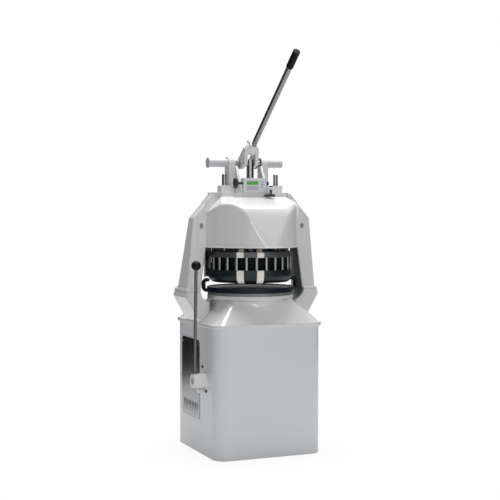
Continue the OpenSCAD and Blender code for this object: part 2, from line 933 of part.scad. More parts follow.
flange_over = 5;
cover_mouth = [
  [-cover_half, cover_z], [cover_half, cover_z], [cover_half, deck_z - corner_drop],
  [roof_half, deck_z - roof_drop], [-roof_half, deck_z - roof_drop], [-cover_half, deck_z - corner_drop]
];
cover_flange = [
  [-flange_half, cover_z], [flange_half, cover_z], [flange_half, deck_z - flange_drop],
  [roof_half + flange_over, deck_z - roof_drop], [-roof_half - flange_over, deck_z - roof_drop],
  [-flange_half, deck_z - flange_drop]
];

module head_cover() {
  color("whitesmoke") {
    difference() {
      cover_form(0);
      translate([0, 0, -eps]) cover_form(cover_wall);
      translate([-cover_half + cover_wall, -col_front - 2 * eps, cover_z - eps])
        cube([2 * (cover_half - cover_wall), 4 * eps, yoke_z - cover_z]);
    }
    along_y(-col_front - flange_sheet, -col_front) difference() {
      polygon(cover_flange);
      translate([0, -eps]) offset(delta = -cover_wall) polygon(cover_mouth);
      translate([-cover_half + cover_wall, cover_z - eps])
        square([2 * (cover_half - cover_wall), 2 * cover_wall]);
    }
  }
}

// Ram, posts and their guides

module guide_blocks() {
  color("gainsboro") pair() difference() {
    translate([post_x - guide_w / 2, -head_y - guide_w / 2, deck_top]) cube([guide_w, guide_w, guide_h]);
    at_head(deck_top - eps) translate([post_x, 0, 0])
      cylinder(h = guide_h + 2 * eps, r = post_r + bush_t + run);
  }
}

module bronze_bushes() {
  color("peru") {
    at_head(beam_z) tube(beam_h + deck_t, ram_r + bush_t, ram_r + run);
    pair() at_head(deck_top) translate([post_x, 0, 0])
      tube(guide_h - bush_inset, post_r + bush_t, post_r + run);
    pair() translate([ped_in + bush_inset, shaft_y, shaft_z]) rotate([0, 90, 0])
      tube(ped_out - ped_in - 2 * bush_inset, shaft_r + bush_t, shaft_r + run);
  }
}

module guide_posts() {
  color("silver") pair() at_head(head_top) translate([post_x, 0, 0])
    cylinder(h = deck_z + post_over - head_top, r = post_r);
}

module ram() {
  slot_low = crank_pin_r + slot_slack;
  slot_high = crank_pin_r + gap;
  color("silver") difference() {
    at_head(head_top) cylinder(h = shaft_z + ram_over - head_top, r = ram_r);
    translate([-2 * ram_r, shaft_y - crank_throw - crank_pin_r - 1, shaft_z - slot_low])
      cube([4 * ram_r, 4 * ram_r, slot_low + slot_high]);
  }
}

// Pressing head

module head_plate() {
  color("#3b3e42") at_head(head_z) cylinder(h = head_t, r = ring_r);
}

module ring_bars() {
  color("lightgray") at_head(bars_z) for (i = [0 : bar_count - 1]) {
    rotate([0, 0, i * 360 / bar_count]) translate([0, -ring_r + ring_wall / 2, 0])
      cylinder(h = bar_h, r = bar_r);
  }
}

module cutting_ring() {
  color("#2c2e31") at_head(ring_z) tube(ring_h, ring_r, ring_r - ring_wall);
}

cell_rows = [
  [0, knife_r1, 6],
  [knife_r1, knife_r2, 12],
  [knife_r2, ring_r - ring_wall, 18]
];
knife_h = ring_h + bar_h;
fit = 1;

module knife_grid() {
  color("silver") at_head(ring_z) {
    for (r = [knife_r1, knife_r2]) {
      tube(knife_h, r + knife_t / 2, r - knife_t / 2);
    }
    for (row = cell_rows, i = [0 : row[2] - 1]) {
      rotate([0, 0, i * 360 / row[2]]) translate([row[0], -knife_t / 2, 0])
        cube([row[1] - row[0] - run, knife_t, knife_h]);
    }
  }
}

module pressing_blocks() {
  side = knife_t / 2 + fit;
  color("#5b6066") at_head(ring_z + block_recess) for (row = cell_rows, i = [0 : row[2] - 1]) {
    step = 360 / row[2];
    inner = row[0] + side;
    outer = row[1] - side;
    rotate([0, 0, i * step]) linear_extrude(knife_h - block_recess) difference() {
      intersection() {
        circle(outer);
        polygon([
          [side / sin(step / 2) * cos(step / 2), side / sin(step / 2) * sin(step / 2)],
          [2 * ring_r, side], [2 * ring_r, 2 * ring_r * tan(step / 2)],
          [2 * ring_r * cos(step) + side * sin(step), 2 * ring_r * sin(step) - side * cos(step)]
        ]);
      }
      circle(inner);
    }
  }
}

pad_hollow = 6;

module ivory_pad(z, h, angle) {
  at_head(z) rotate([0, 0, -angle]) linear_extrude(h) difference() {
    translate([-pad_w / 2, -ring_r - pad_t]) square([pad_w, pad_t + pad_hollow]);
    circle(ring_r + run, $fn = 360);
  }
}

module ring_pads() {
  color("ivory") for (a = [pad_angle_1, pad_angle_2]) {
    ivory_pad(ring_z, ring_h, a);
  }
}

module plate_caps() {
  cap_h = 18;
  cap_low_r = 19;
  cap_top_r = 13;
  color("ivory") for (a = [pad_angle_1, pad_angle_2]) {
    at_head(head_top) rotate([0, 0, -a]) translate([0, -ring_r + pad_w / 2, 0])
      cylinder(h = cap_h, r1 = cap_low_r, r2 = cap_top_r);
    ivory_pad(head_z, head_t, a);
  }
}

stud_r = 6;
stud_up = 34;

module head_studs() {
  color("silver") pair() at_head(0) translate([ring_r - ring_wall / 2, 0, 0]) {
    translate([0, 0, head_top]) cylinder(h = stud_up, r = stud_r);
    translate([0, 0, head_z - stud_up]) cylinder(h = stud_up, r = stud_r);
  }
}

// Cross shaft, spring tubes and press lever

rib_in = 4;
rib_toe = 22;

module pedestals() {
  color("gainsboro") pair() difference() {
    union() {
      along_x(ped_in, ped_out) {
        translate([shaft_y, shaft_z]) circle(hub_r);
        polygon([
          [shaft_y - hub_r, shaft_z], [shaft_y + hub_r, shaft_z],
          [shaft_y + hub_r, deck_top], [shaft_y - hub_r, deck_top]
        ]);
      }
      along_x(ped_in - rib_t, ped_in + eps) polygon([
        [shaft_y - hub_r, shaft_z - hub_r / 2], [shaft_y, shaft_z - hub_r / 2], [shaft_y, deck_top],
        [-deck_front + rib_in, deck_top], [-deck_front + rib_in, deck_top + rib_toe]
      ]);
    }
    translate([0, shaft_y, shaft_z]) bar_x(ped_in - rib_t - eps, ped_out + eps, shaft_r + bush_t + run);
  }
}

tube_wall = 3;
cap_t = 8;
shaft_play = 2;

module spring_tubes() {
  color("gainsboro") translate([0, shaft_y, shaft_z]) {
    translate([ped_out, 0, 0]) rotate([0, 90, 0]) difference() {
      cylinder(h = tube_right, r = tube_r);
      translate([0, 0, -eps]) cylinder(h = tube_right - cap_t + eps, r = tube_r - tube_wall);
    }
    translate([-ped_out, 0, 0]) rotate([0, -90, 0]) difference() {
      union() {
        cylinder(h = tube_left, r = tube_r);
        translate([0, 0, tube_left - cap_t]) cylinder(h = cap_t, r = cap_r);
      }
      translate([0, 0, -eps]) cylinder(h = tube_left - cap_t + eps, r = tube_r - tube_wall);
    }
  }
}

module balance_springs() {
  spring_r = tube_r - tube_wall - 2 * gap;
  color("dimgray") translate([0, shaft_y, shaft_z]) {
    for (span = [[ped_out, ped_out + tube_right - cap_t], [-ped_out - tube_left + cap_t, -ped_out]]) {
      translate([span[0], 0, 0]) rotate([0, 90, 0]) tube(span[1] - span[0], spring_r, shaft_r + 2 * gap);
    }
  }
}

module cross_shaft() {
  color("silver") translate([0, shaft_y, shaft_z]) {
    bar_x(-ped_out - tube_left + cap_t + shaft_play, ped_out + tube_right - cap_t - shaft_play, shaft_r);
    translate([0, -crank_throw, 0]) bar_x(-fork_half - cheek_t, fork_half + cheek_t, crank_pin_r);
  }
}

module shaft_collar() {
  collar_x = fork_half + cheek_t + gap;
  color("#1a1a1a") translate([collar_x, shaft_y, shaft_z]) rotate([0, 90, 0])
    tube(collar_t, collar_r, shaft_r + run);
}

clamp_r = 5;
clamp_head = 4;
ear_up = 16;
clamp_up = socket_r + 6;
ear_len = 24;
web_len = 24;
web_in = 6;
rod_in = 14;
socket_taper = 4;

module lever_fork() {
  cheek_nose = 17;
  color("gainsboro") difference() {
    union() {
      pair() along_x(fork_half, fork_half + cheek_t) {
        translate([shaft_y, shaft_z]) circle(hub_r);
        hull() {
          translate([shaft_y - crank_throw, shaft_z]) circle(cheek_nose, $fn = 32);
          translate([shaft_y, shaft_z]) circle(hub_r - 1, $fn = 32);
          translate([shaft_y - socket_from * sin(lever_lean), shaft_z + socket_from * cos(lever_lean)])
            rotate(lever_lean) translate([lever_offset, 0]) circle(socket_r - socket_taper, $fn = 32);
        }
      }
      at_lever() {
        translate([0, 0, socket_from]) cylinder(h = socket_to - socket_from, r = socket_r);
        translate([-fork_half - cheek_t, -socket_r + web_in, socket_from])
          cube([2 * (fork_half + cheek_t), 2 * (socket_r - web_in), web_len]);
        translate([-socket_r + socket_taper, 0, socket_to - ear_len])
          cube([2 * (socket_r - socket_taper), socket_r + ear_up, ear_len]);
      }
    }
    at_lever() translate([0, 0, socket_from + rod_in]) cylinder(h = socket_to, r = rod_r + run);
    at_lever() translate([0, clamp_up, socket_to - ear_len / 2])
      bar_x(-2 * socket_r, 2 * socket_r, clamp_r + run);
    translate([0, shaft_y, shaft_z]) bar_x(-2 * hub_r, 2 * hub_r, shaft_r + run);
    translate([0, shaft_y - crank_throw, shaft_z]) bar_x(-2 * hub_r, 2 * hub_r, crank_pin_r + run);
  }
}

module clamp_bolt() {
  color("dimgray") at_lever() translate([0, clamp_up, socket_to - ear_len / 2]) {
    bar_x(-socket_r + socket_taper, socket_r - socket_taper, clamp_r);
    bar_x(-socket_r - socket_taper, -socket_r + socket_taper, clamp_r + clamp_head);
  }
}

grip_end = 8;

module lever_rod() {
  color("silver") at_lever() translate([0, 0, socket_from + rod_in])
    cylinder(h = lever_len - socket_from - rod_in - grip_end, r = rod_r);
}

module lever_grip() {
  color("#1a1a1a") at_lever() translate([0, 0, lever_len - grip_len]) difference() {
    cylinder(h = grip_len, r = grip_r);
    translate([0, 0, -eps]) cylinder(h = grip_len - grip_end + eps, r = rod_r + run);
  }
}

// Controls on the deck

button_in = 26;
button_x = ctrl_w / 2 - button_in;
button_z = deck_top + ctrl_h * 0.54;
button_depth = 6;
button_proud = 1;
stem_r = 7;
stem_in = 13;
bracket_t = 14;
tee_edge = 12;
tee_cap_h = 8;
tee_cap_over = 4;
tee_head = 20;

module control_box() {
  color("gainsboro") difference() {
    union() {
      translate([-ctrl_w / 2, ctrl_front, deck_top]) cube([ctrl_w, ctrl_d, ctrl_h]);
      translate([ctrl_w / 2 - eps, tee_y - tee_edge, tee_z])
        cube([tee_out + tee_edge + eps, tee_edge - deck_front - tee_y, bracket_t]);
    }
    for (i = [-1 : 1]) {
      along_y(ctrl_front - eps, ctrl_front + button_depth) translate([button_x, button_z + i * button_pitch])
        circle(button_r + gap);
    }
    translate([0, dial_y, dial_z]) {
      bar_x(-ctrl_w / 2 - eps, -ctrl_w / 2 + stem_in + eps, stem_r + run);
      bar_x(ctrl_w / 2 - stem_in - eps, ctrl_w / 2 + eps, stem_r + run);
    }
    translate([ctrl_w / 2 + tee_out, tee_y, tee_z - eps]) cylinder(h = bracket_t + 2 * eps, r = tee_r + run);
    along_y(ctrl_front - eps, ctrl_front + display_t)
      translate([display_x, display_z]) square([display_w, display_h]);
  }
}

display_w = 70;
display_h = 21;
display_t = 2;
display_x = -51;
display_z = deck_top + ctrl_h * 0.53;
tee_out = 16;
tee_forward = 26;
tee_y = ctrl_front - tee_forward;
tee_z = deck_top + ctrl_h * 0.2;

module display() {
  color("yellowgreen") along_y(ctrl_front, ctrl_front + display_t) translate([display_x, display_z])
    square([display_w, display_h]);
}

button_front = ctrl_front - button_travel - button_proud;
button_back = ctrl_front + button_depth - button_travel - gap;

module button(i) {
  color("#3a3f47") along_y(button_front, button_back)
    translate([button_x, button_z + i * button_pitch]) circle(button_r);
}

module button_up() {
  button(1);
}

module button_down() {
  button(0);
}

module button_start() {
  button(-1);
}

module handwheel() {
  color("#1a1a1a") translate([-ctrl_w / 2, dial_y, dial_z]) {
    bar_x(-wheel_stem, stem_in, stem_r);
    bar_x(-wheel_stem - wheel_t, -wheel_stem, wheel_r);
  }
}

module side_switch_knob() {
  color("#1a1a1a") translate([ctrl_w / 2, dial_y, dial_z]) {
    bar_x(-stem_in, gap + eps, stem_r);
    bar_x(gap, knob_len, knob_r);
  }
}

module tee_handle() {
  color("#1a1a1a") translate([ctrl_w / 2 + tee_out, tee_y, tee_z]) {
    translate([0, 0, -tee_drop]) cylinder(h = tee_drop + tee_head, r = tee_r);
    translate([0, 0, bracket_t + gap]) cylinder(h = tee_cap_h, r = tee_r + tee_cap_over);
    translate([0, 0, -tee_drop]) bar_x(-tee_bar * 0.62, tee_bar * 0.38, tee_r);
  }
}

// Side rounding lever

stub_r = 14;
stub_len = 43;
stub_down = 8;
stub_drop = flange_r + stub_down;
stub_back = 36;
recess = 30;
shaft_seat = 4;
rod_seat = 2;
rod_back = 14;
shaft_inside = 90;
arm_t = 12;
arm_seat = 10;
arm_root_r = 24;
arm_tip_r = 15;
hub_gap = gap;
side_end = -flange_t - hub_gap - side_hub_len;

module side_flange() {
  color("gainsboro") at_side() {
    difference() {
      bar_x(-flange_t, 0, flange_r);
      bar_x(-flange_t - eps, eps, side_shaft_r + run);
    }
    translate([0, stub_back, -stub_drop]) bar_x(-stub_len, 0, stub_r);
  }
}

module side_hub() {
  color("gainsboro") at_side() difference() {
    bar_x(side_end, -flange_t - hub_gap, side_hub_r);
    bar_x(side_end - eps, side_end + recess, side_hub_r / 2);
    bar_x(side_end + recess - eps, eps, side_shaft_r + run);
    rotate([side_lean, 0, 0]) translate([rod_x, 0, 0]) cylinder(h = 2 * side_hub_r, r = side_rod_r + run);
  }
}

rod_x = side_end + rod_back;

module side_lever_rod() {
  color("silver") at_side() rotate([side_lean, 0, 0]) translate([rod_x, 0, 0]) {
    translate([0, 0, side_hub_r / 2 + rod_seat])
      cylinder(h = side_len - side_hub_r / 2 - rod_seat, r = side_rod_r);
    translate([0, 0, side_len]) sphere(ball_r);
  }
}

module side_shaft() {
  color("silver") at_side() {
    bar_x(side_end + recess + shaft_seat, shaft_inside, side_shaft_r);
    along_x(shaft_inside - arm_seat - arm_t, shaft_inside - arm_seat) difference() {
      hull() {
        circle(arm_root_r, $fn = 32);
        translate([0, shift_len]) circle(arm_tip_r, $fn = 32);
      }
      circle(side_shaft_r + run);
    }
  }
}

base_plate();
cabinet_shell();
vent_panel();
rear_panel();
panel_screws();
cable_gland();
shoulder();
bearing_housing();
bearings();
crank_shaft();
counterweight();
crank_pulley();
motor_stand();
motor();
motor_pulley();
drive_belt();
wear_ring();
rounding_table();
dough_plate();
lower_arms();
columns();
ledge_bolts();
liners();
top_beam();
top_deck();
rear_guard();
head_cover();
guide_blocks();
bronze_bushes();
guide_posts();
ram();
head_plate();
ring_bars();
cutting_ring();
knife_grid();
pressing_blocks();
ring_pads();
plate_caps();
head_studs();
pedestals();
cross_shaft();
shaft_collar();
spring_tubes();
balance_springs();
lever_fork();
lever_rod();
lever_grip();
clamp_bolt();
control_box();
display();
button_up();
button_down();
button_start();
handwheel();
side_switch_knob();
tee_handle();
side_flange();
side_hub();
side_lever_rod();
side_shaft();
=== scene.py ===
import bpy
import bmesh
import math
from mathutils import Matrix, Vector


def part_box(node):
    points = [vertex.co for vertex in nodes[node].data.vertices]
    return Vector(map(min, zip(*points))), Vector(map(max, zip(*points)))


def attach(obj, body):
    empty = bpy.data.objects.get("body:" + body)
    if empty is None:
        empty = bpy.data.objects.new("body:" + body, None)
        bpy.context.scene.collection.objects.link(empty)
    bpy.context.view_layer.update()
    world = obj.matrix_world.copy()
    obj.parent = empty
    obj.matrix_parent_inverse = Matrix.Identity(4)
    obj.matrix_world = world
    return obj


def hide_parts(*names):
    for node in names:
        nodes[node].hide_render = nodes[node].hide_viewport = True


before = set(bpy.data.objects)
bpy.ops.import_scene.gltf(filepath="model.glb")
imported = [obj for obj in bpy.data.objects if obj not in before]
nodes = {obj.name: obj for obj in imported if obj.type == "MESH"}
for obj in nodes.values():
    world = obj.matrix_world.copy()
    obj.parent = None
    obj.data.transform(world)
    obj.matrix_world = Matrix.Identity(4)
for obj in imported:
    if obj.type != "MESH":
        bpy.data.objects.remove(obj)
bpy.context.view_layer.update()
scene = bpy.context.scene

# The view
# A camera far off to the machine's left front, a little above its middle, looking very
# slightly down through a long lens.
degrees_down = 1.95
degrees_right = 22.85
camera_data = bpy.data.cameras.new("studio_camera")
camera = bpy.data.objects.new("studio_camera", camera_data)
scene.collection.objects.link(camera)
camera.location = (-2.480, -5.920, 1.350)
camera.rotation_euler = (math.radians(90 - degrees_down), 0, math.radians(-degrees_right))
camera_data.lens = 80.64
camera_data.sensor_width = 36
camera_data.clip_end = 60
scene.camera = camera

# The studio
# A white room with a soft light overhead, a smaller one in front and a narrow one that draws a
# bright line along the cover's upper edge. White card on the floor keeps the machine's soft
# shadow, and dark flags, seen only in reflections, give bright metal something to mirror.
scene.view_settings.view_transform = "Standard"
room_tint = (0.95, 0.975, 1.0, 1)
room_level = 0.30
room = bpy.data.worlds.new("studio_room")
scene.world = room
room.use_nodes = True
room_tree = room.node_tree
room_tree.nodes.clear()
room_out = room_tree.nodes.new("ShaderNodeOutputWorld")
room_light = room_tree.nodes.new("ShaderNodeBackground")
room_light.inputs["Color"].default_value = room_tint
room_light.inputs["Strength"].default_value = room_level
room_white = room_tree.nodes.new("ShaderNodeBackground")
room_white.inputs["Color"].default_value = (1, 1, 1, 1)
room_mix = room_tree.nodes.new("ShaderNodeMixShader")


def seen_directly(tree):
    """1 for what the camera sees, be it straight, in a mirror or through glass."""
    path = tree.nodes.new("ShaderNodeLightPath")
    seen = path.outputs["Is Camera Ray"]
    for ray in ("Is Glossy Ray", "Is Transmission Ray"):
        either = tree.nodes.new("ShaderNodeMath")
        either.operation = "MAXIMUM"
        tree.links.new(seen, either.inputs[0])
        tree.links.new(path.outputs[ray], either.inputs[1])
        seen = either.outputs[0]
    return seen


room_tree.links.new(seen_directly(room_tree), room_mix.inputs["Fac"])
room_tree.links.new(room_light.outputs[0], room_mix.inputs[1])
room_tree.links.new(room_white.outputs[0], room_mix.inputs[2])
room_tree.links.new(room_mix.outputs[0], room_out.inputs["Surface"])


def soft_light(name, place, target, width, height, watts):
    lamp_data = bpy.data.lights.new(name, "AREA")
    lamp_data.shape = "RECTANGLE"
    lamp_data.size = width
    lamp_data.size_y = height
    lamp_data.energy = watts
    lamp = bpy.data.objects.new(name, lamp_data)
    scene.collection.objects.link(lamp)
    lamp.location = place
    lamp.rotation_euler = (Vector(target) - Vector(place)).to_track_quat("-Z", "Y").to_euler()


soft_light("top_softbox", (0.1, 0.30, 5.4), (0, 0, 1.2), 1.9, 1.4, 190)
soft_light("edge_light", (1.75, -0.15, 5.4), (0, -0.3, 1.4), 1.3, 0.35, 11)
soft_light("front_softbox", (0.1, -4.6, 2.9), (0, 0, 1.1), 0.9, 0.9, 33)


def deselect():
    if bpy.context.object and bpy.context.object.mode != "OBJECT":
        bpy.ops.object.mode_set(mode="OBJECT")
    bpy.ops.object.select_all(action="DESELECT")


deselect()
bpy.ops.mesh.primitive_plane_add(size=30, location=(0, 0, 0))
floor = bpy.context.object
floor.name = "studio_floor"
card = bpy.data.materials.new("floor_card")
card.use_nodes = True
card_tree = card.node_tree
card_tree.nodes.clear()
card_out = card_tree.nodes.new("ShaderNodeOutputMaterial")
card_paper = card_tree.nodes.new("ShaderNodeBsdfDiffuse")
card_paper.inputs["Color"].default_value = (0.9, 0.9, 0.9, 1)
card_white = card_tree.nodes.new("ShaderNodeEmission")
card_white.inputs["Color"].default_value = (1, 1, 1, 1)
card_place = card_tree.nodes.new("ShaderNodeTexCoord")
card_reach = card_tree.nodes.new("ShaderNodeVectorMath")
card_reach.operation = "LENGTH"
card_fade = card_tree.nodes.new("ShaderNodeMapRange")
card_fade.inputs["From Min"].default_value = 0.45
card_fade.inputs["From Max"].default_value = 1.15
card_fade.inputs["To Min"].default_value = 0.93
card_fade.inputs["To Max"].default_value = 1.0
card_share = card_tree.nodes.new("ShaderNodeMath")
card_share.operation = "MULTIPLY"
card_mix = card_tree.nodes.new("ShaderNodeMixShader")
card_tree.links.new(card_place.outputs["Object"], card_reach.inputs[0])
card_tree.links.new(card_reach.outputs["Value"], card_fade.inputs["Value"])
card_tree.links.new(card_fade.outputs["Result"], card_share.inputs[0])
card_tree.links.new(seen_directly(card_tree), card_share.inputs[1])
card_tree.links.new(card_share.outputs[0], card_mix.inputs["Fac"])
card_tree.links.new(card_paper.outputs[0], card_mix.inputs[1])
card_tree.links.new(card_white.outputs[0], card_mix.inputs[2])
card_tree.links.new(card_mix.outputs[0], card_out.inputs["Surface"])
floor.data.materials.append(card)

flag_cloth = bpy.data.materials.new("flag_cloth")
flag_cloth.use_nodes = True
flag_shader = flag_cloth.node_tree.nodes["Principled BSDF"]
flag_shader.inputs["Base Color"].default_value = (0.01, 0.01, 0.01, 1)
flag_shader.inputs["Roughness"].default_value = 0.9
flag_height = 3.6
flag_lift = 0.02


def dark_flag(bearing, away, width, upright=True):
    """A black cloth on a frame, stood on the floor or laid flat just above it."""
    turn = math.radians(bearing)
    tip = math.radians(90 if upright else 0)
    deselect()
    bpy.ops.mesh.primitive_plane_add(size=1, rotation=(tip, 0, turn + math.radians(90)))
    flag = bpy.context.object
    flag.name = "dark_flag"
    flag.scale = (width, flag_height, 1)
    flag.location = (
        away * math.cos(turn), away * math.sin(turn), flag_height / 2 if upright else flag_lift)
    flag.data.materials.append(flag_cloth)
    flag.visible_camera = False
    flag.visible_diffuse = False
    flag.visible_transmission = False
    flag.visible_shadow = False


for bearing, away, width in (
        (206, 4.0, 1.9), (172, 4.0, 3.7), (118, 2.7, 2.9), (12, 4.0, 3.7), (-38, 4.0, 3.7)):
    dark_flag(bearing, away, width)
dark_flag(159, 3.35, 2.0, upright=False)


# Cabinet
# A welded sheet-steel box on a folded base plate, sprayed with a satin white enamel. The
# enamel has the faint cloudiness and orange peel of a sprayed coat.
def new_group(name, inputs, outputs):
    group = bpy.data.node_groups.new(name, "ShaderNodeTree")
    for label, kind in inputs:
        group.interface.new_socket(label, in_out="INPUT", socket_type="NodeSocket" + kind)
    for label, kind in outputs:
        group.interface.new_socket(label, in_out="OUTPUT", socket_type="NodeSocket" + kind)
    return group, group.nodes.new("NodeGroupInput"), group.nodes.new("NodeGroupOutput")


def feed(tree, source, socket):
    """Sets a socket to a number, or links it to another node's output."""
    if isinstance(source, float):
        socket.default_value = source
    else:
        tree.links.new(source, socket)


def add_noise(tree, place, scale, detail):
    noise = tree.nodes.new("ShaderNodeTexNoise")
    noise.inputs["Detail"].default_value = detail
    tree.links.new(place, noise.inputs["Vector"])
    feed(tree, scale, noise.inputs["Scale"])
    return noise.outputs["Fac"]


def around(tree, value, middle, swing):
    """A noise value, turned into middle plus or minus swing."""
    centred = tree.nodes.new("ShaderNodeMath")
    centred.operation = "SUBTRACT"
    centred.inputs[1].default_value = 0.5
    spread = tree.nodes.new("ShaderNodeMath")
    spread.operation = "MULTIPLY_ADD"
    tree.links.new(value, centred.inputs[0])
    tree.links.new(centred.outputs[0], spread.inputs[0])
    feed(tree, swing, spread.inputs[1])
    feed(tree, middle, spread.inputs[2])
    return spread.outputs[0]


def tinted(tree, colour, level):
    shade = tree.nodes.new("ShaderNodeVectorMath")
    shade.operation = "SCALE"
    tree.links.new(colour, shade.inputs[0])
    tree.links.new(level, shade.inputs["Scale"])
    return shade.outputs[0]


def wire_skin(tree, given, out, cloud, smudge, swing, height):
    """Leads the clouds to the colour, the smudges to the roughness and the grain to the height."""
    level = around(tree, cloud, 1.0, given.outputs["Cloud"])
    tree.links.new(tinted(tree, given.outputs["Colour"], level), out.inputs["Colour"])
    tree.links.new(around(tree, smudge, given.outputs["Gloss"], swing), out.inputs["Roughness"])
    tree.links.new(height, out.inputs["Height"])


skin_inputs = (("Colour", "Color"), ("Cloud", "Float"), ("Gloss", "Float"), ("Grain", "Float"))
skin_outputs = (("Colour", "Color"), ("Roughness", "Float"), ("Height", "Float"))
smudge_swing = 0.06
coat_skin, coat_in, coat_out = new_group("sprayed_coat", skin_inputs, skin_outputs)
coat_place = coat_skin.nodes.new("ShaderNodeTexCoord").outputs["Object"]
coat_cloud = add_noise(coat_skin, coat_place, 2.4, 3)
coat_smudge = add_noise(coat_skin, coat_place, 11.0, 5)
coat_peel = add_noise(coat_skin, coat_place, coat_in.outputs["Grain"], 1)
wire_skin(coat_skin, coat_in, coat_out, coat_cloud, coat_smudge, smudge_swing, coat_peel)


def finish(name, skin, settings, metallic=0.0, relief=0.05, shine=0.5):
    """A material whose surface comes from one of the shared groups."""
    material = bpy.data.materials.new(name)
    material.use_nodes = True
    tree = material.node_tree
    shader = tree.nodes["Principled BSDF"]
    layer = tree.nodes.new("ShaderNodeGroup")
    layer.node_tree = skin
    for label, value in settings.items():
        layer.inputs[label].default_value = value
    bump = tree.nodes.new("ShaderNodeBump")
    bump.inputs["Strength"].default_value = relief
    bump.inputs["Distance"].default_value = 0.001
    tree.links.new(layer.outputs["Colour"], shader.inputs["Base Color"])
    tree.links.new(layer.outputs["Roughness"], shader.inputs["Roughness"])
    tree.links.new(layer.outputs["Height"], bump.inputs["Height"])
    tree.links.new(bump.outputs["Normal"], shader.inputs["Normal"])
    shader.inputs["Metallic"].default_value = metallic
    shader.inputs["Specular IOR Level"].default_value = shine
    return material


enamel = finish(
    "white_enamel", coat_skin,
    {"Colour": (0.765, 0.772, 0.785, 1), "Cloud": 0.02, "Gloss": 0.25, "Grain": 420.0}, relief=0.02)


def take_up(piece):
    deselect()
    piece.select_set(True)
    bpy.context.view_layer.objects.active = piece


def node_copy(node, name):
    """A copy of a CAD node's mesh, with its loose triangles joined and its flat faces made whole."""
    mesh = nodes[node].data.copy()
    mesh.name = name
    mesh.materials.clear()
    piece = bpy.data.objects.new(name, mesh)
    scene.collection.objects.link(piece)
    take_up(piece)
    bpy.ops.mesh.customdata_custom_splitnormals_clear()
    bpy.ops.object.mode_set(mode="EDIT")
    bpy.ops.mesh.select_all(action="SELECT")
    bpy.ops.mesh.remove_doubles(threshold=0.00001)
    bpy.ops.mesh.dissolve_limited(angle_limit=math.radians(0.4))
    bpy.ops.object.mode_set(mode="OBJECT")
    return piece


def smooth(piece, angle=35):
    take_up(piece)
    bpy.ops.object.shade_smooth_by_angle(angle=math.radians(angle))


def settle(piece, body, slot, material, *replaced):
    """Gives a piece its finish, its body and the nodes that it stands in for; the slot is not used."""
    piece.data.materials.clear()
    piece.data.materials.append(material)
    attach(piece, body)
    if replaced:
        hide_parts(*replaced)


def dress(node, material):
    for holder in nodes[node].material_slots:
        holder.material = material


cabinet = node_copy("cabinet_shell", "cabinet_walls")
smooth(cabinet, 20)
settle(cabinet, "frame", "white_paint", enamel, "cabinet_shell")
dress("base_plate", enamel)

# Panels
# A brushed stainless vent panel with pressed louvres on the left and a painted access panel at
# the back, held by small steel screws. Socket screws hold the side lever's flange and the
# cover's flange, and a black gland sits at the back.
brushed_skin, brush_in, brush_out = new_group(
    "brushed_metal", skin_inputs + (("Stretch", "Vector"),), skin_outputs)
brush_place = brushed_skin.nodes.new("ShaderNodeTexCoord").outputs["Object"]
brush_run = brushed_skin.nodes.new("ShaderNodeVectorMath")
brush_run.operation = "MULTIPLY"
brushed_skin.links.new(brush_place, brush_run.inputs[0])
brushed_skin.links.new(brush_in.outputs["Stretch"], brush_run.inputs[1])
brush_line = add_noise(brushed_skin, brush_run.outputs[0], brush_in.outputs["Grain"], 2)
brush_smudge = add_noise(brushed_skin, brush_place, 9.0, 4)
wire_skin(brushed_skin, brush_in, brush_out, brush_line, brush_smudge, smudge_swing, brush_line)
panel_steel = finish(
    "brushed_panel_steel", brushed_skin,
    {"Colour": (0.33, 0.34, 0.35, 1), "Cloud": 0.07, "Gloss": 0.24, "Grain": 1.0,
     "Stretch": (400.0, 400.0, 6.0)}, metallic=1.0, relief=0.02)


def apply_modifier(piece, kind, **settings):
    take_up(piece)
    modifier = piece.modifiers.new(kind.lower(), kind)
    for label, value in settings.items():
        setattr(modifier, label, value)
    bpy.ops.object.modifier_apply(modifier=modifier.name)


def eased(piece, edge, turn=30, steps=3):
    """Rounds the edges that turn more sharply than the given angle."""
    apply_modifier(piece, "BEVEL", width=edge, segments=steps, limit_method="ANGLE",
                   angle_limit=math.radians(turn))
    smooth(piece)
    apply_modifier(piece, "WEIGHTED_NORMAL", keep_sharp=True)


def eased_copy(node, name, edge, body, slot, material):
    """A copy of a CAD node with its edges rounded, settled on its body."""
    piece = node_copy(node, name)
    eased(piece, edge)
    settle(piece, body, slot, material, node)


def pick_faces(piece, wanted):
    """Opens a piece in edit mode with only the wanted faces selected."""
    take_up(piece)
    bpy.ops.object.mode_set(mode="EDIT")
    bpy.ops.mesh.select_all(action="DESELECT")
    open_mesh = bmesh.from_edit_mesh(piece.data)
    for face in open_mesh.faces:
        face.select = wanted(face)
    bmesh.update_edit_mesh(piece.data)


def cut_off(piece, place, way, wanted=lambda face: True, fill=True):
    """Cuts the wanted faces at a plane and takes off what lies beyond it."""
    pick_faces(piece, wanted)
    bpy.ops.mesh.bisect(plane_co=place, plane_no=way, clear_outer=True, use_fill=fill)
    bpy.ops.object.mode_set(mode="OBJECT")


def joined(name, parts):
    """Joins parts into the last of them, with its place in its mesh."""
    deselect()
    for part in parts:
        part.select_set(True)
    bpy.context.view_layer.objects.active = parts[-1]
    bpy.ops.object.join()
    bpy.ops.object.transform_apply(location=True, rotation=True, scale=True)
    piece = bpy.context.object
    piece.name = name
    return piece


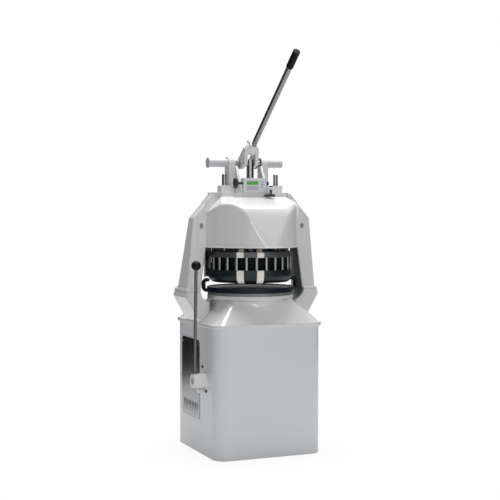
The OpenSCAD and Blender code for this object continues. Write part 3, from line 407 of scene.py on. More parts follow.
eased_copy("vent_panel", "vent_plate", 0.0008, "frame", "brushed_panel", panel_steel)
vent_low, vent_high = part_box("vent_panel")
louvre_count = 9
louvre_margin = 0.052
louvre_pitch = (vent_high.y - vent_low.y - louvre_margin) / louvre_count
louvre_size = (0.003, 0.0085, 0.036)
louvre_z = vent_low.z + 0.057
louvre_sunk = 0.0002
louvres = []
deselect()
for step in range(louvre_count):
    y = (vent_low.y + vent_high.y) / 2 + (step - (louvre_count - 1) / 2) * louvre_pitch
    bpy.ops.mesh.primitive_uv_sphere_add(
        segments=24, ring_count=12, radius=1, location=(vent_low.x, y, louvre_z), scale=louvre_size)
    louvres.append(bpy.context.object)
louvre_row = joined("vent_louvres", louvres)
cut_off(louvre_row, (vent_low.x + louvre_sunk, 0, 0), (1, 0, 0))
smooth(louvre_row, 50)
settle(louvre_row, "frame", "brushed_panel", panel_steel)
eased_copy("rear_panel", "access_plate", 0.0008, "frame", "white_paint", enamel)

speckle_skin, speck_in, speck_out = new_group("moulded_surface", skin_inputs, skin_outputs)
speck_place = speckle_skin.nodes.new("ShaderNodeTexCoord").outputs["Object"]
speck_cloud = add_noise(speckle_skin, speck_place, 30.0, 3)
speck_grain = add_noise(speckle_skin, speck_place, speck_in.outputs["Grain"], 3)
grain_swing = 0.15
wire_skin(speckle_skin, speck_in, speck_out, speck_cloud, speck_grain, grain_swing, speck_grain)
black_plastic = finish(
    "black_plastic", speckle_skin,
    {"Colour": (0.004, 0.006, 0.010, 1), "Cloud": 0.3, "Gloss": 0.36, "Grain": 900.0},
    relief=0.06, shine=0.12)
screw_steel = finish(
    "screw_steel", speckle_skin,
    {"Colour": (0.26, 0.26, 0.26, 1), "Cloud": 0.15, "Gloss": 0.45, "Grain": 500.0},
    metallic=0.3, relief=0.03)


def separated(piece, name):
    """Makes what is selected in an open piece a piece of its own."""
    bpy.ops.mesh.separate(type="SELECTED")
    bpy.ops.object.mode_set(mode="OBJECT")
    other = next(item for item in bpy.context.selected_objects if item != piece)
    other.name = name
    return other


def split_off(piece, name, belongs):
    """Makes the faces whose middle belongs to another piece that piece."""
    pick_faces(piece, lambda face: belongs(face.calc_center_median()))
    return separated(piece, name)


flat_turn = 0.99
end_slack = 0.001


def recess(piece, facing, rim, depth):
    """Sinks each flat end that faces the given way, and leaves a rim round it."""
    end = max(vert.co.dot(facing) for vert in piece.data.vertices)

    def is_end(face):
        flat = face.normal.dot(facing) > flat_turn
        return flat and face.calc_center_median().dot(facing) > end - end_slack

    pick_faces(piece, is_end)
    bpy.ops.mesh.inset(thickness=rim, depth=-depth, use_individual=True)
    bpy.ops.object.mode_set(mode="OBJECT")


column_screws_above = 1.0
hub_screws_before = -0.1
socket_rim = 0.0045
socket_depth = 0.002
screw_stretch = 0.006
screws = node_copy("panel_screws", "panel_screw_heads")
column_screws = split_off(screws, "flange_screw_heads", lambda place: place.z > column_screws_above)
hub_screws = split_off(screws, "side_cap_screws", lambda place: place.y < hub_screws_before)
recess(column_screws, Vector((0, -1, 0)), socket_rim, socket_depth)
recess(hub_screws, Vector((-1, 0, 0)), socket_rim, socket_depth)
screw_z = sum(vert.co.z for vert in column_screws.data.vertices) / len(column_screws.data.vertices)
for vert in column_screws.data.vertices:
    vert.co.z += math.copysign(screw_stretch, vert.co.z - screw_z)
for heads, material in ((screws, panel_steel), (column_screws, screw_steel), (hub_screws, black_plastic)):
    eased(heads, 0.0008)
    settle(heads, "frame", "black_plastic", material, "panel_screws")
eased_copy("cable_gland", "cable_entry", 0.0008, "frame", "black_plastic", black_plastic)

# Rounding drive
# The motor on its stand, the belt and pulleys, and the crank in its bearing housing. They sit
# inside the cabinet: cast iron, turned steel, a rubber belt and a hammered blue-grey motor coat.
cast_grey = finish(
    "grey_casting", speckle_skin,
    {"Colour": (0.20, 0.225, 0.21, 1), "Cloud": 0.25, "Gloss": 0.5, "Grain": 320.0},
    metallic=0.35, relief=0.12)
turned_steel = finish(
    "turned_steel", brushed_skin,
    {"Colour": (0.34, 0.342, 0.345, 1), "Cloud": 0.05, "Gloss": 0.24, "Grain": 1.0,
     "Stretch": (30.0, 30.0, 400.0)}, metallic=1.0, relief=0.01)
motor_coat = finish(
    "motor_hammer_coat", coat_skin,
    {"Colour": (0.09, 0.16, 0.22, 1), "Cloud": 0.15, "Gloss": 0.4, "Grain": 180.0}, relief=0.25)
belt_rubber = finish(
    "belt_rubber", speckle_skin,
    {"Colour": (0.02, 0.02, 0.02, 1), "Cloud": 0.3, "Gloss": 0.7, "Grain": 500.0}, relief=0.15)
for casting in ("bearing_housing", "counterweight", "crank_pulley", "motor_stand", "motor_pulley"):
    dress(casting, cast_grey)
for turning in ("bearings", "crank_shaft"):
    dress(turning, turned_steel)
dress("motor", motor_coat)
dress("drive_belt", belt_rubber)

# Shoulder
# A hollow casting that closes the cabinet: a rolled lip, a hipped roof whose faces sweep up
# into a round neck, and a turned rim under the table. Painted like the cabinet.
cast_enamel = finish(
    "white_cast_enamel", coat_skin,
    {"Colour": (0.78, 0.775, 0.765, 1), "Cloud": 0.025, "Gloss": 0.17, "Grain": 260.0}, relief=0.03)
cabinet_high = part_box("cabinet_shell")[1]
shoulder_low, shoulder_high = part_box("shoulder")
head_low, head_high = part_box("head_plate")
axis_y = (head_low.y + head_high.y) / 2
lip_over = shoulder_high.x - cabinet_high.x
lip_z = shoulder_low.z
lip_h = 0.023
roof_z = lip_z + lip_h
rim_top = shoulder_high.z
rim_z = rim_top - 0.014
rim_r = 0.247
rim_under = 0.0015
rim_edge = 0.002
neck_r = 0.224
pan_r = 0.214
pan_z = 0.832
bore_r = 0.060
under_r = 0.194
under_z = 0.806
hip_half = 0.184
hip_r = 0.030
corner_r = 0.060
wall = 0.009
sweep = 0.024
corner_steps = 14
side_steps = 10


def rounded_loop(half_x, half_y, centre_y, corner, height):
    """Points round a rectangle with round corners, the same count for any size."""
    arcs = []
    for quarter, (sx, sy) in enumerate(((1, 1), (-1, 1), (-1, -1), (1, -1))):
        arc = []
        for step in range(corner_steps + 1):
            turn = math.radians(90 * quarter + 90 * step / corner_steps)
            x = sx * (half_x - corner) + corner * math.cos(turn)
            y = centre_y + sy * (half_y - corner) + corner * math.sin(turn)
            arc.append(Vector((x, y, height)))
        arcs.append(arc)
    points = []
    for arc, following in zip(arcs, arcs[1:] + arcs[:1]):
        points += arc
        for step in range(1, side_steps):
            points.append(arc[-1].lerp(following[0], step / side_steps))
    return points


def built_piece(name, build):
    """A piece from a mesh that was built up face by face."""
    mesh = bpy.data.meshes.new(name)
    build.to_mesh(mesh)
    build.free()
    piece = bpy.data.objects.new(name, mesh)
    scene.collection.objects.link(piece)
    return piece


def skin_rows(name, rows, ring_shaped=True):
    """Joins rows of points, each a closed loop, into one skin: ring-shaped, or closed at both ends."""
    build = bmesh.new()
    loops = [[build.verts.new(point) for point in row] for row in rows]
    if not ring_shaped:
        build.faces.new(loops[0])
        build.faces.new(loops[-1])
    for low, high in zip(loops, loops[1:] + loops[:1] if ring_shaped else loops[1:]):
        for i in range(len(low)):
            j = (i + 1) % len(low)
            build.faces.new((low[i], low[j], high[j], high[i]))
    bmesh.ops.recalc_face_normals(build, faces=build.faces)
    return built_piece(name, build)


def from_axis(point):
    return math.hypot(point.x, point.y - axis_y)


def neck_crossing(foot, top):
    """How far up a roof line the neck is met, from 0 at the foot to 1 at the top."""
    if from_axis(top) >= neck_r:
        return 1.0
    near, far = 0.0, 1.0
    for halving in range(40):
        middle = (near + far) / 2
        if from_axis(foot.lerp(top, middle)) > neck_r:
            near = middle
        else:
            far = middle
    return near


roof_foot = rounded_loop(cabinet_high.x, cabinet_high.y, 0, corner_r, roof_z)
roof_top = rounded_loop(hip_half, hip_half, axis_y, hip_r, rim_z)
crossings = [neck_crossing(foot, top) for foot, top in zip(roof_foot, roof_top)]
neck_line = [foot.lerp(top, share) for foot, top, share in zip(roof_foot, roof_top, crossings)]


def sweep_ends(foot, corner):
    """Where the roof starts to sweep up below a neck corner, and where it ends upright above it."""
    room_up = min(sweep, rim_z - corner.z)
    return corner + (foot - corner).normalized() * room_up, corner + Vector((0, 0, room_up))


def circle_row(radius, height):
    row = []
    for point in neck_line:
        away = Vector((point.x, point.y - axis_y)).normalized()
        row.append(Vector((away.x * radius, axis_y + away.y * radius, height)))
    return row


shoulder_rows = []
for over, height in ((0.5, 0.0), (0.85, 0.0012), (1.0, 0.004), (1.0, lip_h - 0.006),
                     (0.9, lip_h - 0.0022), (0.6, lip_h - 0.0004), (0.15, lip_h)):
    grow = lip_over * over
    shoulder_rows.append(rounded_loop(
        cabinet_high.x + grow, cabinet_high.y + grow, 0, corner_r + grow, lip_z + height))
for share in (0.0, 0.02, 0.2, 0.4, 0.6, 0.8, 1.0):
    row = []
    for foot, corner in zip(roof_foot, neck_line):
        row.append(foot.lerp(sweep_ends(foot, corner)[0], share))
    shoulder_rows.append(row)
for share in (0.15, 0.3, 0.45, 0.6, 0.75, 0.9, 1.0):
    row = []
    for foot, corner in zip(roof_foot, neck_line):
        start, end = sweep_ends(foot, corner)
        row.append(start.lerp(corner, share).lerp(corner.lerp(end, share), share))
    shoulder_rows.append(row)
for radius, height in ((rim_r - rim_under, rim_z), (rim_r, rim_z + rim_under), (rim_r, rim_top - rim_edge),
                       (rim_r - rim_edge, rim_top), (pan_r, rim_top), (pan_r, pan_z), (bore_r, pan_z),
                       (bore_r, under_z), (under_r, under_z)):
    shoulder_rows.append(circle_row(radius, height))
for height in (roof_z, lip_z):
    shoulder_rows.append(rounded_loop(
        cabinet_high.x - wall, cabinet_high.y - wall, 0, corner_r - wall, height))
shoulder = skin_rows("shoulder_casting", shoulder_rows)
smooth(shoulder, 40)
settle(shoulder, "frame", "white_paint", cast_enamel, "shoulder")

# Rounding table and dough plate
# A machined grey casting orbits on the crank over an ivory wear ring, and the black coated plate
# lies on it. The plate has a low rim, and each of its two lugs is a strap curled up and over.
ivory = finish(
    "ivory_plastic", speckle_skin,
    {"Colour": (0.97, 0.91, 0.84, 1), "Cloud": 0.03, "Gloss": 0.38, "Grain": 700.0}, relief=0.04)
black_coat = finish(
    "black_plate_coat", speckle_skin,
    {"Colour": (0.005, 0.009, 0.014, 1), "Cloud": 0.3, "Gloss": 0.44, "Grain": 1100.0},
    relief=0.05, shine=0.25)
dress("wear_ring", ivory)
eased_copy("rounding_table", "orbiting_table", 0.002, "table", "grey_casting", cast_grey)
plate_low, plate_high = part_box("dough_plate")
plate_r = (plate_high.y - plate_low.y) / 2
plate_t = 0.021
plate_rim_w = 0.004
plate_rim_h = 0.007
plate_h = plate_t + plate_rim_h
plate_middle = Vector(((plate_low.x + plate_high.x) / 2, (plate_low.y + plate_high.y) / 2, plate_low.z))
deselect()
bpy.ops.mesh.primitive_cylinder_add(
    vertices=160, radius=plate_r, depth=plate_h, location=plate_middle + Vector((0, 0, plate_h / 2)))
plate = bpy.context.object
bpy.ops.object.transform_apply(location=True, rotation=True, scale=True)
recess(plate, Vector((0, 0, 1)), plate_rim_w, plate_rim_h)
eased(plate, 0.0015)
lug_half = 0.0105
lug_side = 0.020
lug_r = 0.020
lug_root = 0.012
lug_rise = plate_high.z - plate_low.z - plate_t / 2 - lug_half - 2 * lug_r
lug_turn_x = plate_high.x - plate_middle.x - lug_half - lug_r
lug_sweep = math.radians(190)
lug_steps = 16
lug_points = 24
lug_path = [(plate_r - lug_root, plate_t / 2, 0.0, 1.0), (lug_turn_x, plate_t / 2, 0.0, 1.0)]
for step in range(1, lug_steps + 1):
    turn = lug_sweep * step / lug_steps
    rise = lug_rise if turn > math.pi / 2 else 0
    lug_path.append((
        lug_turn_x + lug_r * math.sin(turn), plate_t / 2 + rise + lug_r * (1 - math.cos(turn)), turn, 1.0))
tip_x, tip_z, tip_turn = lug_path[-1][:3]
for share in (0.4, 0.7, 0.9, 0.98):
    reach = lug_half * share
    lug_path.append((
        tip_x + reach * math.cos(tip_turn), tip_z + reach * math.sin(tip_turn), tip_turn,
        math.sqrt(1 - share ** 2)))
for side in (-1, 1):
    lug_rows = []
    for x, z, turn, size in lug_path:
        row = []
        for step in range(lug_points):
            way = 2 * math.pi * step / lug_points
            off = lug_half * size * math.cos(way)
            row.append(plate_middle + Vector((
                side * (x + off * math.sin(turn)),
                lug_side * size * math.sin(way),
                z - off * math.cos(turn))))
        lug_rows.append(row)
    lug = skin_rows("plate_lug", lug_rows, ring_shaped=False)
    smooth(lug, 60)
    plate = joined("dough_plate_and_lugs", (lug, plate))
settle(plate, "plate", "black_plate", black_coat, "dough_plate")

# Yoke
# Two cast arms bolted to the shoulder carry two tapering columns; a beam and a thick deck plate
# join them at the top. The liners on the columns' inner faces are drawn in a dark grey.
arms = node_copy("lower_arms", "yoke_arms")
arm_in = 0.266
for side in (-1, 1):
    cut_off(arms, (side * arm_in, 0, 0), (-side, 0, 0),
            wanted=lambda face: face.calc_center_median().x * side > 0)
eased(arms, 0.004)
settle(arms, "frame", "white_paint", cast_enamel, "lower_arms")
eased_copy("columns", "yoke_columns", 0.006, "frame", "white_paint", cast_enamel)
eased_copy("top_beam", "yoke_beam", 0.003, "frame", "white_paint", cast_enamel)
deck = node_copy("top_deck", "yoke_deck")
deck_low, deck_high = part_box("top_deck")
deck_middle = (deck_low.z + deck_high.z) / 2
deck_end = 0.9 * deck_high.x
deck_trim = 0.012
deck_drop = 0.019
for vert in deck.data.vertices:
    if abs(vert.co.x) > deck_end:
        vert.co.x -= math.copysign(deck_trim, vert.co.x)
    if vert.co.z < deck_middle:
        vert.co.z -= deck_drop
eased(deck, 0.0012)
settle(deck, "frame", "white_paint", enamel, "top_deck")
# Dark grey for the liners on the columns' inner faces.
liner_dark_grey = finish(
    "dark_liner", speckle_skin,
    {"Colour": (0.17, 0.19, 0.19, 1), "Cloud": 0.2, "Gloss": 0.5, "Grain": 500.0}, relief=0.05, shine=0.3)
liners = node_copy("liners", "column_liners")
smooth(liners)
settle(liners, "frame", "black_plate", liner_dark_grey, "liners")
dark_steel = finish(
    "blackened_steel", brushed_skin,
    {"Colour": (0.10, 0.105, 0.11, 1), "Cloud": 0.2, "Gloss": 0.4, "Grain": 1.0,
     "Stretch": (60.0, 60.0, 500.0)}, metallic=0.8, relief=0.03)
eased_copy("ledge_bolts", "ledge_bolt_heads", 0.001, "frame", "dark_steel", dark_steel)

# Rear guard
# A rolled sheet-steel hood behind the head, welded at its pads and painted with the cabinet.
# Its lower edge ends above the dough plate.
guard = node_copy("rear_guard", "rear_guard_hood")
guard_trim = 0.045
guard_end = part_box("rear_guard")[0].z + guard_trim
for vert in guard.data.vertices:
    vert.co.z = max(vert.co.z, guard_end)
eased(guard, 0.001)
settle(guard, "frame", "white_paint", enamel, "rear_guard")

# Cutting head
# A dark anodised ring, its foot curved inwards, hangs on upright steel bars from an aluminium
# head plate; inside it are the knife grid and the pressing blocks. Ivory pads and caps guide it,
# four studs hold it, and a steel ram and two posts carry it. The head plate's colour is darkened
# with painted shade from the cover above it, and the knives and blocks are painted near-black for
# the shade inside the ring.
anodised = finish(
    "dark_anodised", speckle_skin,
    {"Colour": (0.017, 0.023, 0.026, 1), "Cloud": 0.25, "Gloss": 0.36, "Grain": 600.0},
    metallic=0.4, relief=0.05)
# Painted shade: the head plate's aluminium is darkened to stand in for the cover's shadow on it.
head_plate_shade = finish(
    "head_plate_shade", brushed_skin,
    {"Colour": (0.11, 0.118, 0.122, 1), "Cloud": 0.2, "Gloss": 0.42, "Grain": 1.0,
     "Stretch": (90.0, 90.0, 600.0)}, metallic=0.6, relief=0.04)
# Painted shade: near-black with little shine, standing in for the shade inside the ring, on the knives and
# the blocks alike.
block_aluminium = finish(
    "block_aluminium", speckle_skin,
    {"Colour": (0.004, 0.006, 0.007, 1), "Cloud": 0.3, "Gloss": 0.55, "Grain": 400.0},
    relief=0.05, shine=0.08)
bar_steel = finish(
    "ground_bar_steel", brushed_skin,
    {"Colour": (0.36, 0.37, 0.37, 1), "Cloud": 0.05, "Gloss": 0.38, "Grain": 1.0,
     "Stretch": (40.0, 40.0, 300.0)}, metallic=0.9, relief=0.01)
ring_low, ring_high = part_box("cutting_ring")
ring_r = (ring_high.x - ring_low.x) / 2
ring_wall = 0.013
ring_round = 0.050
inner_round = ring_round - ring_wall
round_end = math.radians(65)
round_z = ring_low.z + ring_round * math.sin(round_end)
round_steps = 12
ring_steps = 128
foot_turns = [round_end * step / round_steps for step in range(round_steps + 1)]
ring_section = [(ring_r - ring_wall, ring_high.z), (ring_r, ring_high.z)]
for turn in foot_turns:
    ring_section.append((
        ring_r - ring_round * (1 - math.cos(turn)), round_z - ring_round * math.sin(turn)))
for turn in reversed(foot_turns):
    ring_section.append((
        ring_r - ring_round + inner_round * math.cos(turn), round_z - inner_round * math.sin(turn)))
ring_rows = []
for radius, height in ring_section:
    row = []
    for step in range(ring_steps):
        turn = 2 * math.pi * step / ring_steps
        row.append(Vector((radius * math.cos(turn), axis_y + radius * math.sin(turn), height)))
    ring_rows.append(row)
ring = skin_rows("cutting_ring_band", ring_rows)
eased(ring, 0.0012, turn=50)
settle(ring, "head", "dark_aluminium", anodised, "cutting_ring")
bars = node_copy("ring_bars", "ring_bar_set")
bar_count = 26
bar_pitch = 2 * math.pi / bar_count
bar_stretch = 1.5
for vert in bars.data.vertices:
    turn = math.atan2(vert.co.y - axis_y, vert.co.x)
    middle = round((turn + math.pi / 2) / bar_pitch) * bar_pitch - math.pi / 2
    away = from_axis(vert.co)
    vert.co.x = away * math.cos(middle + (turn - middle) * bar_stretch)
    vert.co.y = axis_y + away * math.sin(middle + (turn - middle) * bar_stretch)
smooth(bars)
settle(bars, "head", "bright_steel", bar_steel, "ring_bars")
eased_copy("head_plate", "head_disc", 0.002, "head", "dark_aluminium", head_plate_shade)


def draw_in(vert, share):
    """Moves a point towards the head's axis, to the given share of its distance."""
    vert.co.x *= share
    vert.co.y = axis_y + (vert.co.y - axis_y) * share


foot_r = ring_r - ring_round + inner_round * math.cos(round_end)
# The knives and the blocks both take the near-black painted shade.
for node, name, slot in (("knife_grid", "dividing_knives", "bright_steel"),
                         ("pressing_blocks", "pressing_block_set", "block_aluminium")):
    cell = node_copy(node, name)
    for vert in cell.data.vertices:
        away = from_axis(vert.co)
        if vert.co.z < round_z and away > foot_r:
            draw_in(vert, foot_r / away)
    smooth(cell)
    settle(cell, "head", slot, block_aluminium, node)
eased_copy("plate_caps", "plate_guide_caps", 0.003, "head", "ivory_plastic", ivory)
pads = node_copy("ring_pads", "ring_guide_pads")
eased(pads, 0.004)
pick_faces(pads, lambda face: True)
bpy.ops.mesh.subdivide(number_cuts=6)
bpy.ops.object.mode_set(mode="OBJECT")
for vert in pads.data.vertices:
    if vert.co.z < round_z:
        away = from_axis(vert.co)
        lift = min(1.0, (round_z - vert.co.z) / ring_round)
        draw_in(vert, (away - ring_round * (1 - math.sqrt(1 - lift ** 2))) / away)
smooth(pads, 40)
settle(pads, "head", "ivory_plastic", ivory, "ring_pads")
for node, name, edge in (("head_studs", "head_stud_set", 0.0015), ("ram", "press_ram", 0.0015),
                         ("guide_posts", "guide_post_pair", 0.002)):
    eased_copy(node, name, edge, "head", "bright_steel", turned_steel)

# Guide blocks
# Two painted steel blocks that stand on the deck on either side of the ram. The head's posts
# slide in bronze bushes pressed into them.
bronze = finish(
    "bearing_bronze", brushed_skin,
    {"Colour": (0.50, 0.30, 0.14, 1), "Cloud": 0.15, "Gloss": 0.32, "Grain": 1.0,
     "Stretch": (60.0, 60.0, 700.0)}, metallic=1.0, relief=0.02)
eased_copy("guide_blocks", "post_guide_blocks", 0.002, "frame", "white_paint", enamel)
dress("bronze_bushes", bronze)

# Head cover
# A pressed sheet-steel visor over the head: a round skirt with a beaded hem, a front that bends
# over into a sloping roof, and a flat cheek on each side. A flat flange, screwed to the columns,
# closes it behind.
cover_low, cover_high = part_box("head_cover")
cover_back = cover_high.y
cover_bottom = cover_low.z
cover_half = 0.281
cover_reach = 0.294
cover_roof_z = deck_low.z - 0.017
roof_half = 0.200
press_r = 0.018
right_r = 0.045
seam_r = 0.008
sheet = 0.004
overrun = 2 * press_r
merge_reach = 0.0005
skirt_power = 1.5
skirt_steps = 40
bend_steps = 8


def skirt_x(y):
    """Half width of the skirt at a given depth: straight cheeks that turn in to the front."""
    share = (cover_back - y) / cover_reach
    return cover_half * max(0, 1 - max(0, share) ** skirt_power) ** (1 / skirt_power)


def on_skirt(y, z):
    return Vector((skirt_x(y), y, z))


def ball_hull(name, balls_at, segments):
    """The skin stretched over a set of balls, each given by its place and radius."""
    deselect()
    balls = []
    for place, radius in balls_at:
        bpy.ops.mesh.primitive_uv_sphere_add(
            segments=segments, ring_count=segments // 2, radius=radius, location=place)
        balls.append(bpy.context.object)
    piece = joined(name, balls)
    bpy.ops.object.mode_set(mode="EDIT")
    bpy.ops.mesh.select_all(action="SELECT")
    bpy.ops.mesh.convex_hull()
    bpy.ops.object.mode_set(mode="OBJECT")
    return piece


cheek_back = on_skirt(cover_back, deck_low.z - 0.108)
cheek_top = on_skirt(cover_back - 0.109, deck_low.z - 0.060)
front_foot = on_skirt(cover_low.y, cover_bottom)
roof_front = Vector((roof_half, deck_low.y, cover_roof_z))
roof_back = Vector((roof_half, cover_back + overrun, cover_roof_z))
bend_start = Vector((0, cover_back - 0.165, deck_low.z - 0.057))
bend_corner = Vector((0, cover_back - 0.2175, deck_low.z - 0.075))
bend_end = Vector((0, cover_back - 0.236, deck_low.z - 0.135))
cover_points = [
    cheek_back, cheek_back + Vector((0, overrun, 0)), cheek_top, front_foot, roof_front, roof_back]
for step in range(bend_steps + 1):
    share = step / bend_steps
    bend = bend_start.lerp(bend_corner, share).lerp(bend_corner.lerp(bend_end, share), share)
    cover_points.append(on_skirt(bend.y, bend.z))
for step in range(bend_steps):
    slant = bend_end.lerp(front_foot, step / bend_steps)
    cover_points.append(on_skirt(slant.y, slant.z))
for step in range(skirt_steps + 1):
    y = cover_back + (cover_low.y - cover_back) * math.sin(math.pi / 2 * step / skirt_steps)
    cover_points.append(on_skirt(y, cover_bottom - overrun))
cover_points.append(Vector((cover_half, cover_back + overrun, cover_bottom - overrun)))
core = bmesh.new()
for side in (-1, 1):
    for point in cover_points:
        core.verts.new((side * point.x, point.y, point.z))
bmesh.ops.remove_doubles(core, verts=core.verts, dist=merge_reach)
hull = bmesh.ops.convex_hull(core, input=core.verts)
bmesh.ops.delete(core, geom=hull["geom_interior"], context="VERTS")
core.normal_update()
press_balls = []
for vert in core.verts:
    bend_r = right_r if vert.co.x > 0 else press_r
    if vert.co.y > cover_back - seam_r:
        bend_r = seam_r
    press_balls.append((vert.co - vert.normal * bend_r * vert.calc_shell_factor(), bend_r))
core.free()
cover = ball_hull("head_cover_visor", press_balls, 24)
for place, way in (((0, 0, cover_bottom), (0, 0, -1)), ((0, cover_back, 0), (0, 1, 0))):
    cut_off(cover, place, way, fill=False)
hem_r = 0.005
hem_slack = 0.0005
bpy.ops.object.mode_set(mode="EDIT")
bpy.ops.mesh.select_all(action="DESELECT")
cover_mesh = bmesh.from_edit_mesh(cover.data)
for edge in cover_mesh.edges:
    edge.select = all(vert.co.z < cover_bottom + hem_slack for vert in edge.verts)
bmesh.update_edit_mesh(cover.data)
bpy.ops.mesh.duplicate()
hem = separated(cover, "cover_hem_bead")
take_up(hem)
bpy.ops.object.convert(target="CURVE")
hem = bpy.context.object
hem.data.bevel_depth = hem_r
hem.data.bevel_resolution = 4
hem.data.use_fill_caps = True
bpy.ops.object.convert(target="MESH")
hem = bpy.context.object
for vert in hem.data.vertices:
    vert.co.z += hem_r
smooth(hem, 60)
settle(hem, "frame", "white_paint", cast_enamel, "head_cover")
apply_modifier(cover, "SOLIDIFY", thickness=sheet, offset=-1)
smooth(cover, 40)
apply_modifier(cover, "WEIGHTED_NORMAL", keep_sharp=True)
settle(cover, "frame", "white_paint", cast_enamel, "head_cover")
flange_sheet = 0.003
flange_hip_z = deck_low.z - 0.126
flange_top_half = 0.217
mouth_half = cover_half - sheet
mouth_top_half = 0.190
mouth_top_z = deck_low.z - 0.024
flange_edge = [(cover_high.x, cover_bottom), (cover_high.x, flange_hip_z), (flange_top_half, cover_roof_z)]
mouth_edge = [(mouth_half, cover_bottom), (mouth_half, cheek_back.z - sheet), (mouth_top_half, mouth_top_z)]
flange_strip = bmesh.new()


def flange_line(edge):
    """Corners along an edge drawn on the right and along its mirror image on the left."""
    both = edge + [(-x, z) for x, z in reversed(edge)]
    return [flange_strip.verts.new((x, cover_back - flange_sheet, z)) for x, z in both]


outer = flange_line(flange_edge)
inner = flange_line(mouth_edge)
for i in range(len(outer) - 1):
    flange_strip.faces.new((outer[i], outer[i + 1], inner[i + 1], inner[i]))
flange = built_piece("cover_flange", flange_strip)
apply_modifier(flange, "SOLIDIFY", thickness=flange_sheet, offset=-1)
eased(flange, 0.0012)
settle(flange, "frame", "white_paint", cast_enamel, "head_cover")

# Pedestals and press shaft
# Two cast pedestals with gusset ribs stand on the deck and carry the cross shaft. Balance
# springs sit in painted tubes on both ends of the shaft, closed by caps.
tube_enamel = finish(
    "tube_enamel", coat_skin,
    {"Colour": (0.60, 0.60, 0.61, 1), "Cloud": 0.03, "Gloss": 0.3, "Grain": 300.0}, relief=0.02)
eased_copy("pedestals", "shaft_pedestals", 0.0025, "frame", "white_paint", cast_enamel)
eased_copy("spring_tubes", "balance_tubes", 0.002, "frame", "white_paint", tube_enamel)
dress("balance_springs", dark_steel)
dress("cross_shaft", turned_steel)
eased_copy("shaft_collar", "shaft_collar_ring", 0.001, "press_lever", "dark_steel", dark_steel)

# Press lever
# A cast fork pinned to the shaft, with a solid body between its cheeks and a split socket that
# clamps the steel rod. The rod ends in a black moulded grip.
eased_copy("lever_fork", "press_fork", 0.0025, "press_lever", "white_paint", cast_enamel)
collar_low, collar_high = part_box("shaft_collar")
shaft_y = (collar_low.y + collar_high.y) / 2
shaft_z = (collar_low.z + collar_high.z) / 2
lever_lean = math.radians(51.5)
lever_offset = 0.011
fork_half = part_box("lever_fork")[1].x
fork_round = 0.006
web_half = 0.019
web_from = 0.084
web_to = 0.104
socket_r = 0.025
socket_end = 0.146
socket_steps = 16


def on_lever(x, across, along):
    """A place on the leaning lever, from the shaft's middle."""
    across += lever_offset
    return Vector((
        x, shaft_y + across * math.cos(lever_lean) - along * math.sin(lever_lean),
        shaft_z + across * math.sin(lever_lean) + along * math.cos(lever_lean)))


body_points = []
for x_side in (-1, 1):
    for across_side in (-1, 1):
        for along in (web_from + fork_round, web_to):
            body_points.append(on_lever(
                x_side * (fork_half - fork_round), across_side * (web_half - fork_round), along))
for step in range(socket_steps):
    turn = 2 * math.pi * step / socket_steps
    body_points.append(on_lever(
        (socket_r - fork_round) * math.cos(turn), (socket_r - fork_round) * math.sin(turn),
        socket_end - fork_round))
fork_body = ball_hull("press_fork_body", [(point, fork_round) for point in body_points], 20)
smooth(fork_body, 40)
apply_modifier(fork_body, "WEIGHTED_NORMAL", keep_sharp=True)
settle(fork_body, "press_lever", "white_paint", cast_enamel, "lever_fork")
rod_steel = finish(
    "drawn_rod_steel", brushed_skin,
    {"Colour": (0.30, 0.29, 0.28, 1), "Cloud": 0.04, "Gloss": 0.22, "Grain": 1.0,
     "Stretch": (60.0, 30.0, 30.0)}, metallic=1.0, relief=0.01)
eased_copy("lever_rod", "press_rod", 0.001, "press_lever", "bright_steel", rod_steel)
grip = node_copy("lever_grip", "press_grip")
rod_way = Vector((0, -math.sin(lever_lean), math.cos(lever_lean)))
grip_end = max(vert.co.dot(rod_way) for vert in grip.data.vertices)
grip_share = 0.87
grip_shift = 0.013
for vert in grip.data.vertices:
    from_end = vert.co.dot(rod_way) - grip_end
    vert.co += rod_way * (grip_shift - (1 - grip_share) * from_end)
eased(grip, 0.006, steps=4)
settle(grip, "press_lever", "black_plastic", black_plastic, "lever_grip")
eased_copy("clamp_bolt", "socket_clamp_bolt", 0.001, "press_lever", "dark_steel", cast_enamel)

# Controls
# A folded sheet-metal box on the deck with a green display and three push buttons. A handwheel
# and a small switch knob sit on its ends, and a T-handle hangs on a dark steel post from its
# bracket.
eased_copy("control_box", "control_housing", 0.0015, "frame", "white_paint", enamel)
glass = finish(
    "display_glass", speckle_skin,
    {"Colour": (0.10, 0.42, 0.09, 1), "Cloud": 0.3, "Gloss": 0.16, "Grain": 300.0}, relief=0.0)
dress("display", glass)
display_low, display_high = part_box("display")
label_skin = finish(
    "label_film", speckle_skin,
    {"Colour": (0.52, 0.50, 0.57, 1), "Cloud": 0.1, "Gloss": 0.35, "Grain": 200.0}, relief=0.0)
label_w = display_high.x - display_low.x
label_h = 0.022
label_t = 0.0008
label_gap = 0.007
deselect()
bpy.ops.mesh.primitive_cube_add(
    size=1, scale=(label_w, label_t, label_h),
    location=((display_low.x + display_high.x) / 2, display_low.y - label_t / 2,
              display_low.z - label_gap - label_h / 2))
label = bpy.context.object
label.name = "bare_label_field"
bpy.ops.object.transform_apply(location=True, rotation=True, scale=True)
eased(label, 0.0003)
settle(label, "frame", "ivory_plastic", label_skin)
button_cap = finish(
    "button_cap", speckle_skin,
    {"Colour": (0.36, 0.31, 0.34, 1), "Cloud": 0.1, "Gloss": 0.4, "Grain": 700.0}, relief=0.03)
for node, name in (("button_up", "up_button"), ("button_down", "down_button"),
                   ("button_start", "start_button")):
    eased_copy(node, name, 0.0012, node, "black_plastic", button_cap)
control_plastic = finish(
    "dark_grey_plastic", speckle_skin,
    {"Colour": (0.035, 0.037, 0.042, 1), "Cloud": 0.2, "Gloss": 0.36, "Grain": 900.0},
    relief=0.05, shine=0.3)
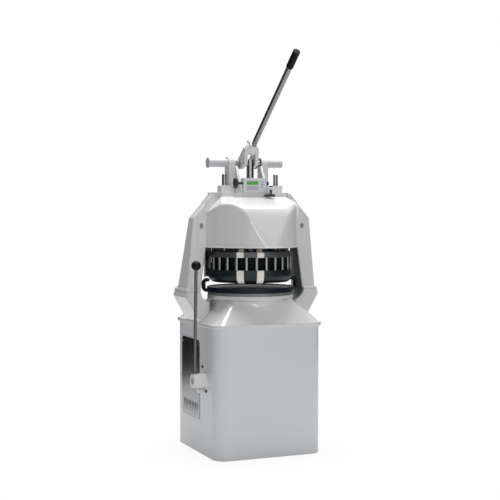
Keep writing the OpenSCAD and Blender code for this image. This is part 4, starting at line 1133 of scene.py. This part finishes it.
for node, name, body in (("handwheel", "setting_handwheel", "handwheel"),
                         ("side_switch_knob", "switch_knob_cap", "switch_knob")):
    eased_copy(node, name, 0.003, body, "black_plastic", control_plastic)
tee_bar_h = 0.016
tee_bar_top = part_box("tee_handle")[0].z + tee_bar_h
tee = node_copy("tee_handle", "hanging_tee")
tee_post = split_off(tee, "hanging_tee_post", lambda place: place.z > tee_bar_top)
for part, material in ((tee, control_plastic), (tee_post, dark_steel)):
    eased(part, 0.001)
    settle(part, "tee_handle", "black_plastic", material, "tee_handle")

# Side lever
# A round flange on the cabinet's left side with a turned hub on a steel shaft, a slim steel rod
# in the hub and a black ball knob; a short stop stub stands beside it.
# A darker grey steel for the slim side rod than for the other turnings.
dark_side_rod = finish(
    "dark_side_rod_steel", brushed_skin,
    {"Colour": (0.17, 0.165, 0.16, 1), "Cloud": 0.08, "Gloss": 0.34, "Grain": 1.0,
     "Stretch": (30.0, 30.0, 400.0)}, metallic=0.9, relief=0.01)
dress("side_shaft", turned_steel)
eased_copy("side_flange", "side_flange_plate", 0.0015, "frame", "white_paint", enamel)
eased_copy("side_hub", "side_lever_hub", 0.004, "side_lever", "white_paint", cast_enamel)
rod_low, rod_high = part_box("side_lever_rod")
knob_r = (rod_high.x - rod_low.x) / 2
knob_place = Vector((rod_low.x + knob_r, rod_low.y + knob_r, rod_high.z - knob_r))
rod_lean = math.radians(2.3)
rod_run = Vector((0, -math.sin(rod_lean), math.cos(rod_lean)))
knob_neck = knob_place - rod_run * 0.9 * knob_r
side_rod = node_copy("side_lever_rod", "side_lever_bar")
cut_off(side_rod, knob_neck, rod_run)
smooth(side_rod)
settle(side_rod, "side_lever", "bright_steel", dark_side_rod, "side_lever_rod")
deselect()
bpy.ops.mesh.primitive_uv_sphere_add(segments=40, ring_count=24, radius=knob_r, location=knob_place)
knob = bpy.context.object
knob.name = "side_ball_knob"
bpy.ops.object.transform_apply(location=True, rotation=True, scale=True)
cut_off(knob, knob_neck, -rod_run)
eased(knob, 0.0015, turn=40)
settle(knob, "side_lever", "black_plastic", black_plastic, "side_lever_rod")
